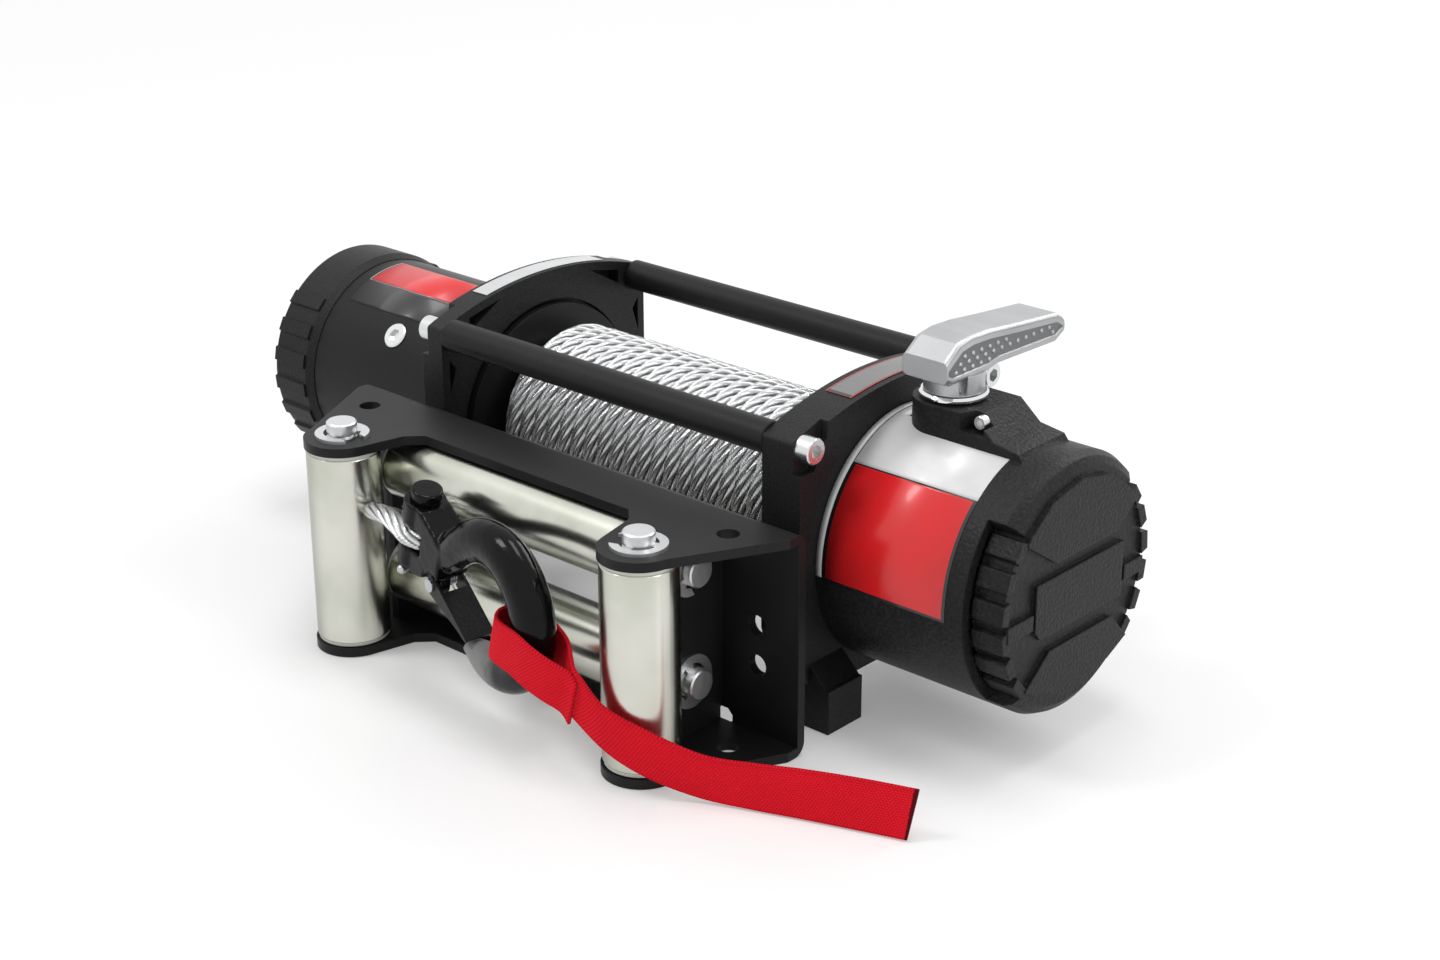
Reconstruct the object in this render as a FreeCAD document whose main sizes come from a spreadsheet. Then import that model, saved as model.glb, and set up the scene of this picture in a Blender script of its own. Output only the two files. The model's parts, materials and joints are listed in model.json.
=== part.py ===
"""Electric recovery winch with a roller fairlead, a steel rope, a clevis hook and a pull strap.

Millimetres. X runs along the drum from the motor to the gear housing, -Y is the
front where the rope leaves, Z is up. The origin is the centre of the four foot
bolts on the plane that the feet stand on.
"""
import FreeCAD, Part
import math
import os
import Sketcher

Vector = FreeCAD.Vector
Rotation = FreeCAD.Rotation
Placement = FreeCAD.Placement

doc = FreeCAD.newDocument("RecoveryWinch")
sheet = doc.addObject("Spreadsheet::Sheet", "Sizes")

SIZES = [
    # Feet and drum axis
    ("axis_height", 85.0, "drum axis above the feet"),
    ("bolts_long", 254.0, "foot bolt spacing along the drum"),
    ("bolts_wide", 114.3, "foot bolt spacing across the drum"),
    ("bolt_hole_radius", 5.25, "foot bolt clearance hole"),
    ("foot_depth", 26.0, "foot pad from front to back"),
    ("foot_length", 37.0, "foot pad along the drum"),
    ("foot_height", 23.5, "foot pad height"),
    ("nut_side", 17.0, "square nut across its flats"),
    ("nut_thickness", 8.0, "square nut thickness"),
    ("nut_slot_floor", 9.0, "material under the square nut"),
    # Supports
    ("inside_length", 226.0, "clear length between the supports"),
    ("motor_support_thickness", 16.0, "support casting on the motor side"),
    ("gear_support_thickness", 24.0, "support casting on the gear side"),
    ("support_half_depth", 78.0, "drum axis to the front face of a support"),
    ("support_corner_height", 67.0, "drum axis up to the corner of the arch"),
    ("support_belt_drop", 35.0, "drum axis down to where the sides draw in"),
    ("arch_radius", 222.0, "crown radius of the arch"),
    ("flange_recess_depth", 4.0, "recess for the drum flange"),
    ("running_gap", 2.0, "clearance around the turning drum"),
    ("head_pocket_depth", 5.0, "pocket for the head of a tie bar screw"),
    ("corner_round", 2.5, "rounding on the castings"),
    # Tie bars
    ("tie_radius", 8.5, "tie bar radius"),
    ("tie_forward", 70.5, "tie bar axis in front of the drum axis"),
    ("tie_above", 62.8, "tie bar axis above the drum axis"),
    ("tie_screw_radius", 4.0, "tie bar screw shank"),
    ("tie_screw_depth", 14.0, "screw engagement in a tie bar"),
    ("screw_head_radius", 6.6, "tie bar screw head"),
    ("screw_head_height", 8.5, "tie bar screw head"),
    ("screw_socket_radius", 3.6, "hexagon socket, to its corners"),
    ("screw_socket_depth", 4.5, "hexagon socket depth"),
    # Drum and rope
    ("barrel_radius", 32.0, "drum barrel"),
    ("drum_bore_radius", 22.0, "bore through the drum"),
    ("drum_flange_radius", 62.0, "drum flange"),
    ("drum_flange_thickness", 5.0, "drum flange"),
    ("hub_radius", 26.0, "drum journal"),
    ("bushing_wall", 4.0, "drum bushing wall"),
    ("journal_gap", 0.05, "running fit of a journal, on the radius"),
    ("rope_diameter", 9.1, "steel rope"),
    ("rope_pitch", 9.55, "advance of the outer layer in one turn"),
    ("layer_margin", 13.5, "drum flange to the rope where it leaves, on the motor side"),
    ("layer_radius", 49.6, "drum axis to the middle of the outer layer"),
    ("layer_gap", 0.3, "outer layer to the core under it"),
    # Motor
    ("motor_radius", 58.7, "motor case"),
    ("motor_wall", 5.0, "motor case wall"),
    ("motor_length", 118.0, "motor case length"),
    ("cap_radius", 61.5, "motor end cap"),
    ("cap_length", 36.0, "motor end cap length"),
    ("cap_wall", 4.0, "motor end cap wall"),
    ("cap_rib_height", 1.6, "grip ribs on the end cap"),
    ("pole_screw_radius", 7.4, "pole shoe screw head"),
    ("pole_shank_radius", 4.0, "pole shoe screw shank"),
    ("pole_seat_depth", 1.5, "seat of a pole shoe screw"),
    ("armature_radius", 36.0, "armature core"),
    ("shaft_radius", 5.0, "drive shaft"),
    # Gear housing and gear train
    ("gear_case_radius", 66.0, "gear housing"),
    ("gear_case_wall", 6.0, "gear housing wall"),
    ("gear_case_length", 105.0, "gear housing from the support to its face"),
    ("gear_face_radius", 60.0, "flat face of the gear housing"),
    ("rim_length", 17.0, "recessed rim along the drum"),
    ("rim_depth", 8.5, "depth of the recessed rim"),
    ("rim_block_drop", 5.4, "top of a rim block below the housing surface"),
    ("face_relief", 2.4, "height of the raised panels on the face"),
    ("gear_module", 2.1333, "tooth size"),
    ("sun_teeth", 9, "teeth of a sun gear"),
    ("planet_teeth", 18, "teeth of a planet gear"),
    ("ring_teeth", 45, "teeth of the ring gear"),
    ("gear_width", 14.0, "tooth width of a planet gear"),
    ("tooth_backlash", 0.5, "play on each side of a tooth, at the pitch circle"),
    ("stage_step", 28.0, "distance between gear stages"),
    ("carrier_thickness", 6.0, "planet carrier plate"),
    ("carrier_radius", 40.0, "planet carrier plate"),
    ("planet_pin_radius", 4.0, "planet gear pin"),
    # Clutch
    ("clutch_offset", 30.5, "clutch axis outside the gear side support"),
    ("boss_above", 79.0, "top of the clutch boss above the drum axis"),
    ("boss_half_width", 19.0, "clutch boss half width"),
    ("clutch_shaft_radius", 7.0, "clutch shaft"),
    ("clutch_shaft_depth", 16.0, "clutch shaft below the top of the boss"),
    ("lock_pin_radius", 4.0, "pin that locks the ring gear"),
    ("lock_pin_length", 18.0, "pin that locks the ring gear"),
    ("lock_pin_lift", 5.5, "travel of the locking pin"),
    ("set_screw_radius", 2.0, "small screw beside the clutch"),
    ("set_screw_offset", 26.5, "small screw beyond the clutch axis"),
    ("set_screw_drop", 4.0, "small screw below the top of the boss"),
    ("lever_width", 27.0, "clutch lever across its grip"),
    ("lever_reach", 72.0, "clutch lever from its axis to the tip"),
    ("lever_tail", 24.0, "clutch lever from its axis to the short end"),
    ("lever_underside", 12.0, "clutch lever above the boss"),
    ("clutch_ring_radius", 17.0, "bright ring under the lever"),
    # Fairlead
    ("steel", 5.0, "fairlead steel thickness"),
    ("fairlead_height", 117.4, "fairlead from flange to flange, outside"),
    ("fairlead_half_length", 153.0, "fairlead half length"),
    ("fairlead_back", 92.0, "drum axis to the back face of the fairlead"),
    ("upright_forward", 155.5, "upright roller axis in front of the drum axis"),
    ("upright_roller_radius", 19.2, "upright roller"),
    ("level_roller_radius", 18.6, "level roller"),
    ("level_forward", 120.0, "level roller axis in front of the drum axis"),
    ("level_middle", 63.6, "middle between the level rollers, above the feet"),
    ("level_half_spacing", 29.9, "level roller axis from that middle"),
    ("level_roller_half_length", 97.5, "level roller half length"),
    ("tab_gap", 1.5, "level roller end to the tab beside it"),
    ("tab_inside", "=level_roller_half_length + tab_gap", "inner face of a tab from the middle"),
    ("upright_beyond", 7.6, "upright roller axis beyond the end of a level roller"),
    ("upright_half_spacing", "=level_roller_half_length + upright_beyond",
     "upright roller axis from the middle"),
    ("ear_radius", 20.0, "ear around an upright roller pin"),
    ("fairlead_holes", 254.0, "fairlead bolt spacing"),
    ("fairlead_hole_radius", 5.6, "fairlead bolt hole"),
    ("fairlead_holes_low", 41.0, "lower fairlead bolt holes above the feet"),
    ("fairlead_holes_high", 62.0, "upper fairlead bolt holes above the feet"),
    ("flange_hole_forward", 26.0, "flange hole in front of the fairlead's back"),
    ("window_margin", 14.0, "fairlead window to the outside of a flange"),
    ("roller_pin_radius", 7.9, "fairlead roller pin"),
    ("roller_wall", 3.0, "fairlead roller tube wall"),
    ("bushing_collar", 1.8, "flange of a roller bushing"),
    ("roller_side_gap", 0.5, "roller end to the steel beside it"),
    ("pin_head_length", 8.0, "roller pin beyond the steel"),
    ("clip_radius", 14.0, "retaining clip"),
    ("clip_thickness", 1.8, "retaining clip"),
    # Hook
    ("hook_pin_along", -43.4, "clevis pin from the middle of the drum"),
    ("hook_pin_forward", 158.0, "clevis pin in front of the drum axis"),
    ("hook_pin_height", 83.4, "clevis pin above the feet"),
    ("hook_heading", -10.2, "hook load line turned from X, seen from above"),
    ("hook_pitch", 16.0, "hook load line below level"),
    ("hook_reach", 68.0, "clevis pin to the middle of the bowl"),
    ("bowl_radius", 33.0, "middle line of the bowl"),
    ("hook_stock", 19.5, "hook stock across the bowl"),
    ("clevis_pin_radius", 5.5, "clevis pin"),
    ("clevis_inside", 12.5, "gap between the clevis ears"),
    ("clevis_ear", 13.0, "clevis ear thickness"),
    ("pin_head", 6.0, "clevis pin head"),
    ("rivet_radius", 1.9, "latch rivet"),
    ("latch_sheet", 1.6, "latch sheet thickness"),
    ("latch_width", 17.0, "hook latch across its cheeks"),
    # Strap
    ("strap_width", 25.0, "pull strap width"),
    ("strap_thickness", 2.2, "pull strap thickness"),
]

for row, (alias, value, note) in enumerate(SIZES, start=1):
    sheet.set("A%d" % row, note)
    sheet.set("B%d" % row, str(value))
    sheet.setAlias("B%d" % row, alias)
doc.recompute()


def val(expression):
    """The number that an expression of the sheet's sizes gives."""
    result = sheet.evalExpression(expression)
    return float(result)


def origin_feature(body, role):
    """The body's own origin plane or axis with this role."""
    return [feature for feature in body.Origin.OriginFeatures if feature.Role == role][0]


def new_body(label, x="0", y="0", z="0"):
    """An empty body whose own origin sits at the named place."""
    body = doc.addObject("PartDesign::Body", label)
    body.Label = label
    for letter, expression in (("x", x), ("y", y), ("z", z)):
        body.setExpression("Placement.Base." + letter, expression)
    return body


def new_sketch(body, name, role, offset="0"):
    """A sketch on one of the body's own planes, moved along the plane's normal."""
    sketch = body.newObject("Sketcher::SketchObject", name)
    sketch.AttachmentSupport = [(origin_feature(body, role), "")]
    sketch.MapMode = "FlatFace"
    sketch.setExpression("AttachmentOffset.Base.z", offset)
    return sketch


def bind_point(sketch, geometry, position, point):
    """Ties one end of a sketch line or arc to two expressions."""
    for kind, expression in zip(("DistanceX", "DistanceY"), point):
        index = sketch.addConstraint(
            Sketcher.Constraint(kind, -1, 1, geometry, position, val(expression)))
        sketch.setExpression("Constraints[%d]" % index, expression)


def arc_between(start, end, radius, turn):
    """The arc from start to end, bulging to the right of the way for turn 1 and to the left for -1."""
    half = (end - start).Length / 2
    along = (end - start).normalize()
    left = Vector(-along.y, along.x, 0)
    centre = (start + end) * 0.5 + left * (turn * math.sqrt(max(radius * radius - half * half, 0)))
    first, last = (start, end) if turn > 0 else (end, start)
    circle = Part.Circle(centre, Vector(0, 0, 1), radius)
    return Part.ArcOfCircle(circle,
                            math.atan2(first.y - centre.y, first.x - centre.x),
                            math.atan2(last.y - centre.y, last.x - centre.x))


def outline(sketch, points, arcs=None):
    """A closed outline through points given as pairs of expressions.

    arcs maps the number of a side to (radius expression, turn); other sides are straight.
    """
    arcs = arcs or {}
    places = [Vector(val(x), val(y), 0) for x, y in points]
    count = len(points)
    first_geometry = sketch.GeometryCount
    ends = []
    for side in range(count):
        start, end = places[side], places[(side + 1) % count]
        if side in arcs:
            radius, turn = arcs[side]
            geometry = sketch.addGeometry(arc_between(start, end, val(radius), turn))
            ends.append((geometry, 1, 2) if turn > 0 else (geometry, 2, 1))
        else:
            geometry = sketch.addGeometry(Part.LineSegment(start, end))
            ends.append((geometry, 1, 2))
    for side in range(count):
        geometry, _, end = ends[side]
        other, start, _ = ends[(side + 1) % count]
        sketch.addConstraint(Sketcher.Constraint("Coincident", geometry, end, other, start))
    for side in range(count):
        bind_point(sketch, ends[side][0], ends[side][1], points[side])
    for side, (radius, _) in arcs.items():
        index = sketch.addConstraint(
            Sketcher.Constraint("Radius", first_geometry + side, val(radius)))
        sketch.setExpression("Constraints[%d]" % index, radius)
    return sketch


def circle(sketch, x, y, radius):
    """A circle whose centre and radius are expressions."""
    geometry = sketch.addGeometry(
        Part.Circle(Vector(val(x), val(y), 0), Vector(0, 0, 1), val(radius)))
    bind_point(sketch, geometry, 3, (x, y))
    index = sketch.addConstraint(Sketcher.Constraint("Radius", geometry, val(radius)))
    sketch.setExpression("Constraints[%d]" % index, radius)
    return sketch


def pad(body, sketch, length, both_ways=False, reverse=False):
    """Adds material along the sketch's normal."""
    feature = body.newObject("PartDesign::Pad", sketch.Name + "Pad")
    feature.Profile = sketch
    feature.setExpression("Length", length)
    feature.Midplane = both_ways
    feature.Reversed = reverse
    body.Tip = feature
    doc.recompute()
    return feature


def pocket(body, sketch, length=None, both_ways=False, reverse=False):
    """Removes material behind the sketch, or all the way when no length is given."""
    feature = body.newObject("PartDesign::Pocket", sketch.Name + "Pocket")
    feature.Profile = sketch
    if length is None:
        feature.Type = "ThroughAll"
    else:
        feature.setExpression("Length", length)
    feature.Midplane = both_ways
    feature.Reversed = reverse
    body.Tip = feature
    doc.recompute()
    before = feature.BaseFeature.Shape.Volume
    if feature.Shape.Volume >= before - 1e-6:
        raise RuntimeError(feature.Name + " cuts nothing")
    return feature


def turned(body, sketch, axis_role):
    """A full turn of the sketch about one of the body's own axes."""
    feature = body.newObject("PartDesign::Revolution", sketch.Name + "Turn")
    feature.Profile = sketch
    feature.ReferenceAxis = (origin_feature(body, axis_role), [""])
    feature.Angle = 360
    body.Tip = feature
    doc.recompute()
    return feature


def polar(body, feature, axis_role, count, span="360"):
    """Copies a feature round one of the body's own axes."""
    pattern = body.newObject("PartDesign::PolarPattern", feature.Name + "Polar")
    pattern.Originals = [feature]
    pattern.Axis = (origin_feature(body, axis_role), [""])
    pattern.setExpression("Angle", span)
    pattern.setExpression("Occurrences", count)
    body.Tip = pattern
    doc.recompute()
    return pattern


def mirrored(body, features, role):
    """Mirrors features in one of the body's own planes."""
    mirror = body.newObject("PartDesign::Mirrored", features[0].Name + "Mirror")
    mirror.Originals = features
    mirror.MirrorPlane = (origin_feature(body, role), [""])
    body.Tip = mirror
    doc.recompute()
    return mirror


def rounded(body, radius, chosen):
    """Rounds the edges of the body's last feature for which chosen(edge) is true."""
    base = body.Tip
    names = ["Edge%d" % number for number, edge in enumerate(base.Shape.Edges, start=1)
             if chosen(edge)]
    feature = body.newObject("PartDesign::Fillet", base.Name + "Round")
    feature.Base = (base, names)
    feature.setExpression("Radius", radius)
    body.Tip = feature
    doc.recompute()
    return feature


def runs_along(edge, direction, shortest=4.0):
    """True for a straight edge along this direction."""
    if edge.Length < shortest or not isinstance(edge.Curve, Part.Line):
        return False
    return abs(edge.tangentAt(edge.FirstParameter).dot(direction)) > 0.999


def turned_body(label, points, axis_role="X_Axis", role="XZ_Plane", x="0", y="0", z="0"):
    """A body of one full turn of an outline."""
    body = new_body(label, x, y, z)
    sketch = outline(new_sketch(body, label + "Profile", role), points)
    turned(body, sketch, axis_role)
    return body


def tube_body(label, outer, inner, start, end, x="0", y="0", z="0", axis="X"):
    """A plain ring or tube along X, Y or Z."""
    role = {"X": "YZ_Plane", "Y": "XZ_Plane", "Z": "XY_Plane"}[axis]
    body = new_body(label, x, y, z)
    sketch = new_sketch(body, label + "Profile", role, start)
    circle(sketch, "0", "0", outer)
    if inner:
        circle(sketch, "0", "0", inner)
    pad(body, sketch, "(" + end + ") - (" + start + ")")
    return body


def set_shape(label, shape, place=None):
    """A piece whose shape is worked out below from the sheet's sizes."""
    feature = doc.addObject("Part::Feature", label)
    feature.Label = label
    feature.Shape = shape
    feature.Placement = place or Placement()
    return feature


AXIS = "Sizes.axis_height"
INNER = "Sizes.inside_length / 2"
MOTOR_BACK = "(Sizes.inside_length / 2 + Sizes.motor_support_thickness)"
GEAR_FACE = "(Sizes.inside_length / 2 + Sizes.gear_support_thickness)"
CLUTCH_X = "(" + GEAR_FACE + " + Sizes.clutch_offset)"
FOOT_FRONT = "(Sizes.bolts_wide / 2 + Sizes.foot_depth / 2)"
FOOT_BACK = "(Sizes.bolts_wide / 2 - Sizes.foot_depth / 2)"


# Support castings

def support(label, side, thickness):
    """One end casting: arch, drum recess, journal bore, tie bar screw pockets and two feet.

    side is 1 for the gear side and -1 for the motor side. The body's own origin is on the
    drum axis at the inner face, and its sketches are drawn across the drum.
    """
    sign = "" if side > 0 else "-"
    away = side < 0
    body = new_body(label, sign + INNER, "0", AXIS)
    deep, corner = "Sizes.support_half_depth", "Sizes.support_corner_height"
    shoulder = "(Sizes.foot_height - Sizes.axis_height)"
    plate = outline(new_sketch(body, label + "Plate", "YZ_Plane"), [
        ("-" + deep, corner), ("-" + deep, "-Sizes.support_belt_drop"),
        ("-" + FOOT_FRONT, shoulder), ("-" + FOOT_FRONT, "-Sizes.axis_height"),
        ("-" + FOOT_BACK, "-Sizes.axis_height"), ("-" + FOOT_BACK, "-Sizes.drum_flange_radius - 6"),
        (FOOT_BACK, "-Sizes.drum_flange_radius - 6"), (FOOT_BACK, "-Sizes.axis_height"),
        (FOOT_FRONT, "-Sizes.axis_height"), (FOOT_FRONT, shoulder),
        (deep, "-Sizes.support_belt_drop"), (deep, corner)],
        {11: ("Sizes.arch_radius", 1)})
    pad(body, plate, thickness, reverse=away)
    feet = new_sketch(body, label + "Feet", "YZ_Plane")
    for y in ("-", ""):
        outline(feet, [
            (y + FOOT_FRONT, "-Sizes.axis_height"), (y + FOOT_FRONT, shoulder),
            (y + FOOT_BACK, shoulder), (y + FOOT_BACK, "-Sizes.axis_height")])
    pad(body, feet, "Sizes.foot_length", reverse=away)
    gussets = new_sketch(body, label + "Gussets", "XZ_Plane", FOOT_BACK)
    outline(gussets, [
        (sign + thickness, shoulder), (sign + "(Sizes.foot_length - 2)", shoulder),
        (sign + thickness, shoulder + " + 11")])
    front_gusset = pad(body, gussets, "Sizes.foot_depth")
    mirrored(body, [front_gusset], "XZ_Plane")
    rounded(body, "Sizes.corner_round",
            lambda edge: runs_along(edge, Vector(1, 0, 0), 10.0)
            and abs(edge.CenterOfMass.y) > 60 and edge.CenterOfMass.z > -60)
    recess = circle(new_sketch(body, label + "Recess", "YZ_Plane"), "0", "0",
                    "Sizes.drum_flange_radius + Sizes.running_gap")
    pocket(body, recess, "Sizes.flange_recess_depth", reverse=not away)
    bore = circle(new_sketch(body, label + "Bore", "YZ_Plane"), "0", "0",
                  "Sizes.hub_radius + Sizes.bushing_wall")
    pocket(body, bore, reverse=not away)
    heads = new_sketch(body, label + "HeadPockets", "YZ_Plane", sign + thickness)
    tie, up = "Sizes.tie_forward", "Sizes.tie_above"
    for y in ("-", ""):
        outline(heads, [
            (y + "(" + deep + " + 2)", up + " - 12"), (y + "(" + tie + " - 3)", up + " - 12"),
            (y + "(" + tie + " - 12)", up + " + 2"), (y + "(" + tie + " - 14)", up + " + 16"),
            (y + "(" + deep + " + 2)", up + " + 16")])
    pocket(body, heads, "Sizes.head_pocket_depth", reverse=away)
    holes = new_sketch(body, label + "TieHoles", "YZ_Plane")
    for y in ("-", ""):
        circle(holes, y + tie, up, "Sizes.tie_screw_radius + 0.25")
    pocket(body, holes, reverse=not away)
    lightening = new_sketch(body, label + "Lightening", "YZ_Plane")
    for y in ("-", ""):
        outline(lightening, [
            (y + "(" + deep + " - 5)", up + " - 14"), (y + "(" + deep + " - 5)", up + " - 34"),
            (y + "(" + tie + " - 2)", up + " - 20")])
        outline(lightening, [
            (y + "(" + tie + " - 13)", up + " + 6"), (y + "(" + tie + " - 13)", up + " - 2"),
            (y + "(" + tie + " - 36)", up + " + 11")])
    pocket(body, lightening, "Sizes.motor_support_thickness / 2", reverse=not away)
    for name, radius, depth in (("BoltHoles", "Sizes.bolt_hole_radius", "Sizes.nut_slot_floor + 1"),
                                ("BoltEnds", "Sizes.bolt_hole_radius - 0.5", "Sizes.foot_height - 3")):
        bolts = new_sketch(body, label + name, "XY_Plane", "-Sizes.axis_height")
        for y in ("-", ""):
            circle(bolts, sign + "(Sizes.bolts_long / 2 - Sizes.inside_length / 2)",
                   y + "Sizes.bolts_wide / 2", radius)
        pocket(body, bolts, depth, reverse=True)
    slots = new_sketch(body, label + "NutSlots", "XZ_Plane")
    slot_end = sign + "(Sizes.bolts_long / 2 - Sizes.inside_length / 2 + Sizes.nut_side / 2 + 0.3)"
    slot_mouth = sign + "(-2)"
    low = "Sizes.nut_slot_floor - Sizes.axis_height"
    high = "Sizes.nut_slot_floor + Sizes.nut_thickness + 0.6 - Sizes.axis_height"
    outline(slots, [(slot_mouth, low), (slot_end, low), (slot_end, high), (slot_mouth, high)])
    slots.setExpression("AttachmentOffset.Base.z", "Sizes.bolts_wide / 2 - Sizes.nut_side / 2 - 0.3")
    front_slot = pocket(body, slots, "Sizes.nut_side + 0.6", reverse=True)
    mirrored(body, [front_slot], "XZ_Plane")
    return body


gear_support = support("gear_side_support", 1, "Sizes.gear_support_thickness")
motor_support = support("motor_side_support", -1, "Sizes.motor_support_thickness")


def square_nuts():
    """Four square nuts in the slots of the feet, with their threaded holes."""
    side, tall = val("Sizes.nut_side"), val("Sizes.nut_thickness")
    nuts = []
    for x in (-1, 1):
        for y in (-1, 1):
            middle = Vector(x * val("Sizes.bolts_long / 2"), y * val("Sizes.bolts_wide / 2"),
                            val("Sizes.nut_slot_floor"))
            nut = Part.makeBox(side, side, tall, middle - Vector(side / 2, side / 2, 0))
            thread = Part.makeCylinder(val("Sizes.bolt_hole_radius") - 0.9, tall, middle)
            nuts.append(nut.cut(thread))
    return Part.makeCompound(nuts)


set_shape("foot_square_nuts", square_nuts())


# Tie bars and their screws

for label, sign in (("front_tie_bar", "-"), ("rear_tie_bar", "")):
    tie_bar = tube_body(label, "Sizes.tie_radius", "Sizes.tie_screw_radius + 0.25",
                        "-" + INNER, INNER,
                        y=sign + "Sizes.tie_forward", z=AXIS + " + Sizes.tie_above")
    rounded(tie_bar, "1.0", lambda edge: isinstance(edge.Curve, Part.Circle)
            and edge.Curve.Radius > val("Sizes.tie_radius") - 0.01)


def socket_screw(head_radius, head_height, shank_radius, shank_length, socket_radius, socket_depth):
    """A socket head screw: its head stands on the plane z = 0 and its shank hangs below."""
    head = Part.makeCylinder(head_radius, head_height)
    rim = [edge for edge in head.Edges if edge.BoundBox.ZMin > head_height - 0.01]
    head = head.makeChamfer(min(0.6, head_radius / 8), rim)
    shank = Part.makeCylinder(shank_radius, shank_length, Vector(0, 0, -shank_length))
    corners = [Vector(socket_radius * math.cos(math.radians(60 * k)),
                      socket_radius * math.sin(math.radians(60 * k)),
                      head_height - socket_depth) for k in range(7)]
    socket = Part.Face(Part.makePolygon(corners)).extrude(Vector(0, 0, socket_depth + 1))
    return head.fuse(shank).cut(socket)


def tie_screws():
    """The four screws that hold the tie bars."""
    screws = []
    places = ((1, "Sizes.gear_support_thickness"), (-1, "Sizes.motor_support_thickness"))
    for side, thickness in places:
        seat = val(thickness + " - Sizes.head_pocket_depth")
        screw = socket_screw(val("Sizes.screw_head_radius"), val("Sizes.screw_head_height"),
                             val("Sizes.tie_screw_radius"),
                             seat + val("Sizes.tie_screw_depth"),
                             val("Sizes.screw_socket_radius"), val("Sizes.screw_socket_depth"))
        for y in (-1, 1):
            copy = screw.copy()
            copy.Placement = Placement(
                Vector(side * (val(INNER) + seat), y * val("Sizes.tie_forward"),
                       val(AXIS + " + Sizes.tie_above")),
                Rotation(Vector(0, 1, 0), 90 * side))
            screws.append(copy)
    return Part.makeCompound(screws)


set_shape("tie_bar_screws", tie_screws())


# Drum, bushings and rope

GEAR_HUB_END = "(" + GEAR_FACE + " - 1)"
MOTOR_HUB_END = "(" + MOTOR_BACK + " - 1)"
FLANGE_OUT = "(" + INNER + " + Sizes.flange_recess_depth - Sizes.running_gap)"
FLANGE_IN = "(" + FLANGE_OUT + " - Sizes.drum_flange_thickness)"

turned_body("drum", [
    ("-" + MOTOR_HUB_END, "Sizes.drum_bore_radius"), ("-" + MOTOR_HUB_END, "Sizes.hub_radius"),
    ("-" + FLANGE_OUT, "Sizes.hub_radius"), ("-" + FLANGE_OUT, "Sizes.drum_flange_radius"),
    ("-" + FLANGE_IN, "Sizes.drum_flange_radius"), ("-" + FLANGE_IN, "Sizes.barrel_radius"),
    (FLANGE_IN, "Sizes.barrel_radius"), (FLANGE_IN, "Sizes.drum_flange_radius"),
    (FLANGE_OUT, "Sizes.drum_flange_radius"), (FLANGE_OUT, "Sizes.hub_radius"),
    (GEAR_HUB_END, "Sizes.hub_radius"), (GEAR_HUB_END, "Sizes.drum_bore_radius")], z=AXIS)


def ring_along_x(outer, inner, start, end):
    """A plain ring about the drum axis."""
    base = Vector(min(start, end), 0, val(AXIS))
    length = abs(end - start)
    ring = Part.makeCylinder(outer, length, base, Vector(1, 0, 0))
    return ring.cut(Part.makeCylinder(inner, length, base, Vector(1, 0, 0)))


def drum_bushings():
    """The two bushings that the drum's journals turn in."""
    outer = val("Sizes.hub_radius + Sizes.bushing_wall")
    inner = val("Sizes.hub_radius + Sizes.journal_gap")
    start = val(INNER + " + Sizes.flange_recess_depth") + 0.5
    return Part.makeCompound([ring_along_x(outer, inner, start, val(GEAR_FACE) - 2),
                              ring_along_x(outer, inner, -start, 2 - val(MOTOR_BACK))])


set_shape("drum_bushings", drum_bushings())

tube_body("rope_core", "Sizes.layer_radius - Sizes.rope_diameter / 2 - Sizes.layer_gap",
          "Sizes.barrel_radius", "-" + FLANGE_IN + " + 0.3", FLANGE_IN + " - 0.3", z=AXIS)


def unit(vector):
    """The same direction with length 1."""
    return vector * (1.0 / vector.Length)


def biarc(start, start_way, end, end_way):
    """Two arcs that join two points and keep both directions."""
    span = end - start
    ways = start_way + end_way
    a = 2 * (start_way.dot(end_way) - 1)
    b = -2 * span.dot(ways)
    c = span.dot(span)
    reach = (-b - math.sqrt(b * b - 4 * a * c)) / (2 * a)
    joint = (start + start_way * reach + end - end_way * reach) * 0.5
    arcs = []
    for point, way, other in ((start, start_way, joint), (end, end_way * -1, joint)):
        chord = other - point
        bisector = unit(unit(chord) + way)
        half = chord.Length / 2
        turn = math.acos(max(-1.0, min(1.0, unit(chord).dot(way))))
        middle = point + bisector * (half / math.cos(turn / 2))
        arcs.append(Part.Arc(point, middle, other).toShape())
    return arcs


def tube_along(edges, radius):
    """A round tube along edges that follow one another."""
    wire = Part.Wire(edges)
    first = edges[0]
    start = first.valueAt(first.FirstParameter)
    way = first.tangentAt(first.FirstParameter)
    ring = Part.Wire([Part.makeCircle(radius, start, way)])
    return wire.makePipeShell([ring], True, False)


def least_gap(points, skip, diameter):
    """The least clear distance between parts of one tube that lie more than skip points apart."""
    least = None
    for number, point in enumerate(points):
        for other in points[number + skip:]:
            distance = (point - other).Length
            if least is None or distance < least:
                least = distance
    return least - diameter


def lead_angle():
    """Where the rope leaves the drum: the angle below the axis, and the length of the taut lead."""
    forward = val("Sizes.fairlead_back + Sizes.steel")
    down = val("Sizes.axis_height - Sizes.level_middle")
    away = math.hypot(forward, down)
    radius = val("Sizes.layer_radius")
    toward = math.atan2(-down, -forward)
    return toward + math.acos(radius / away), math.sqrt(away * away - radius * radius)


def drum_point(angle, x, radius):
    """A point round the drum: angle 0 is the back, a quarter turn is the top."""
    return Vector(x, radius * math.cos(angle), val(AXIS) + radius * math.sin(angle))


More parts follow.
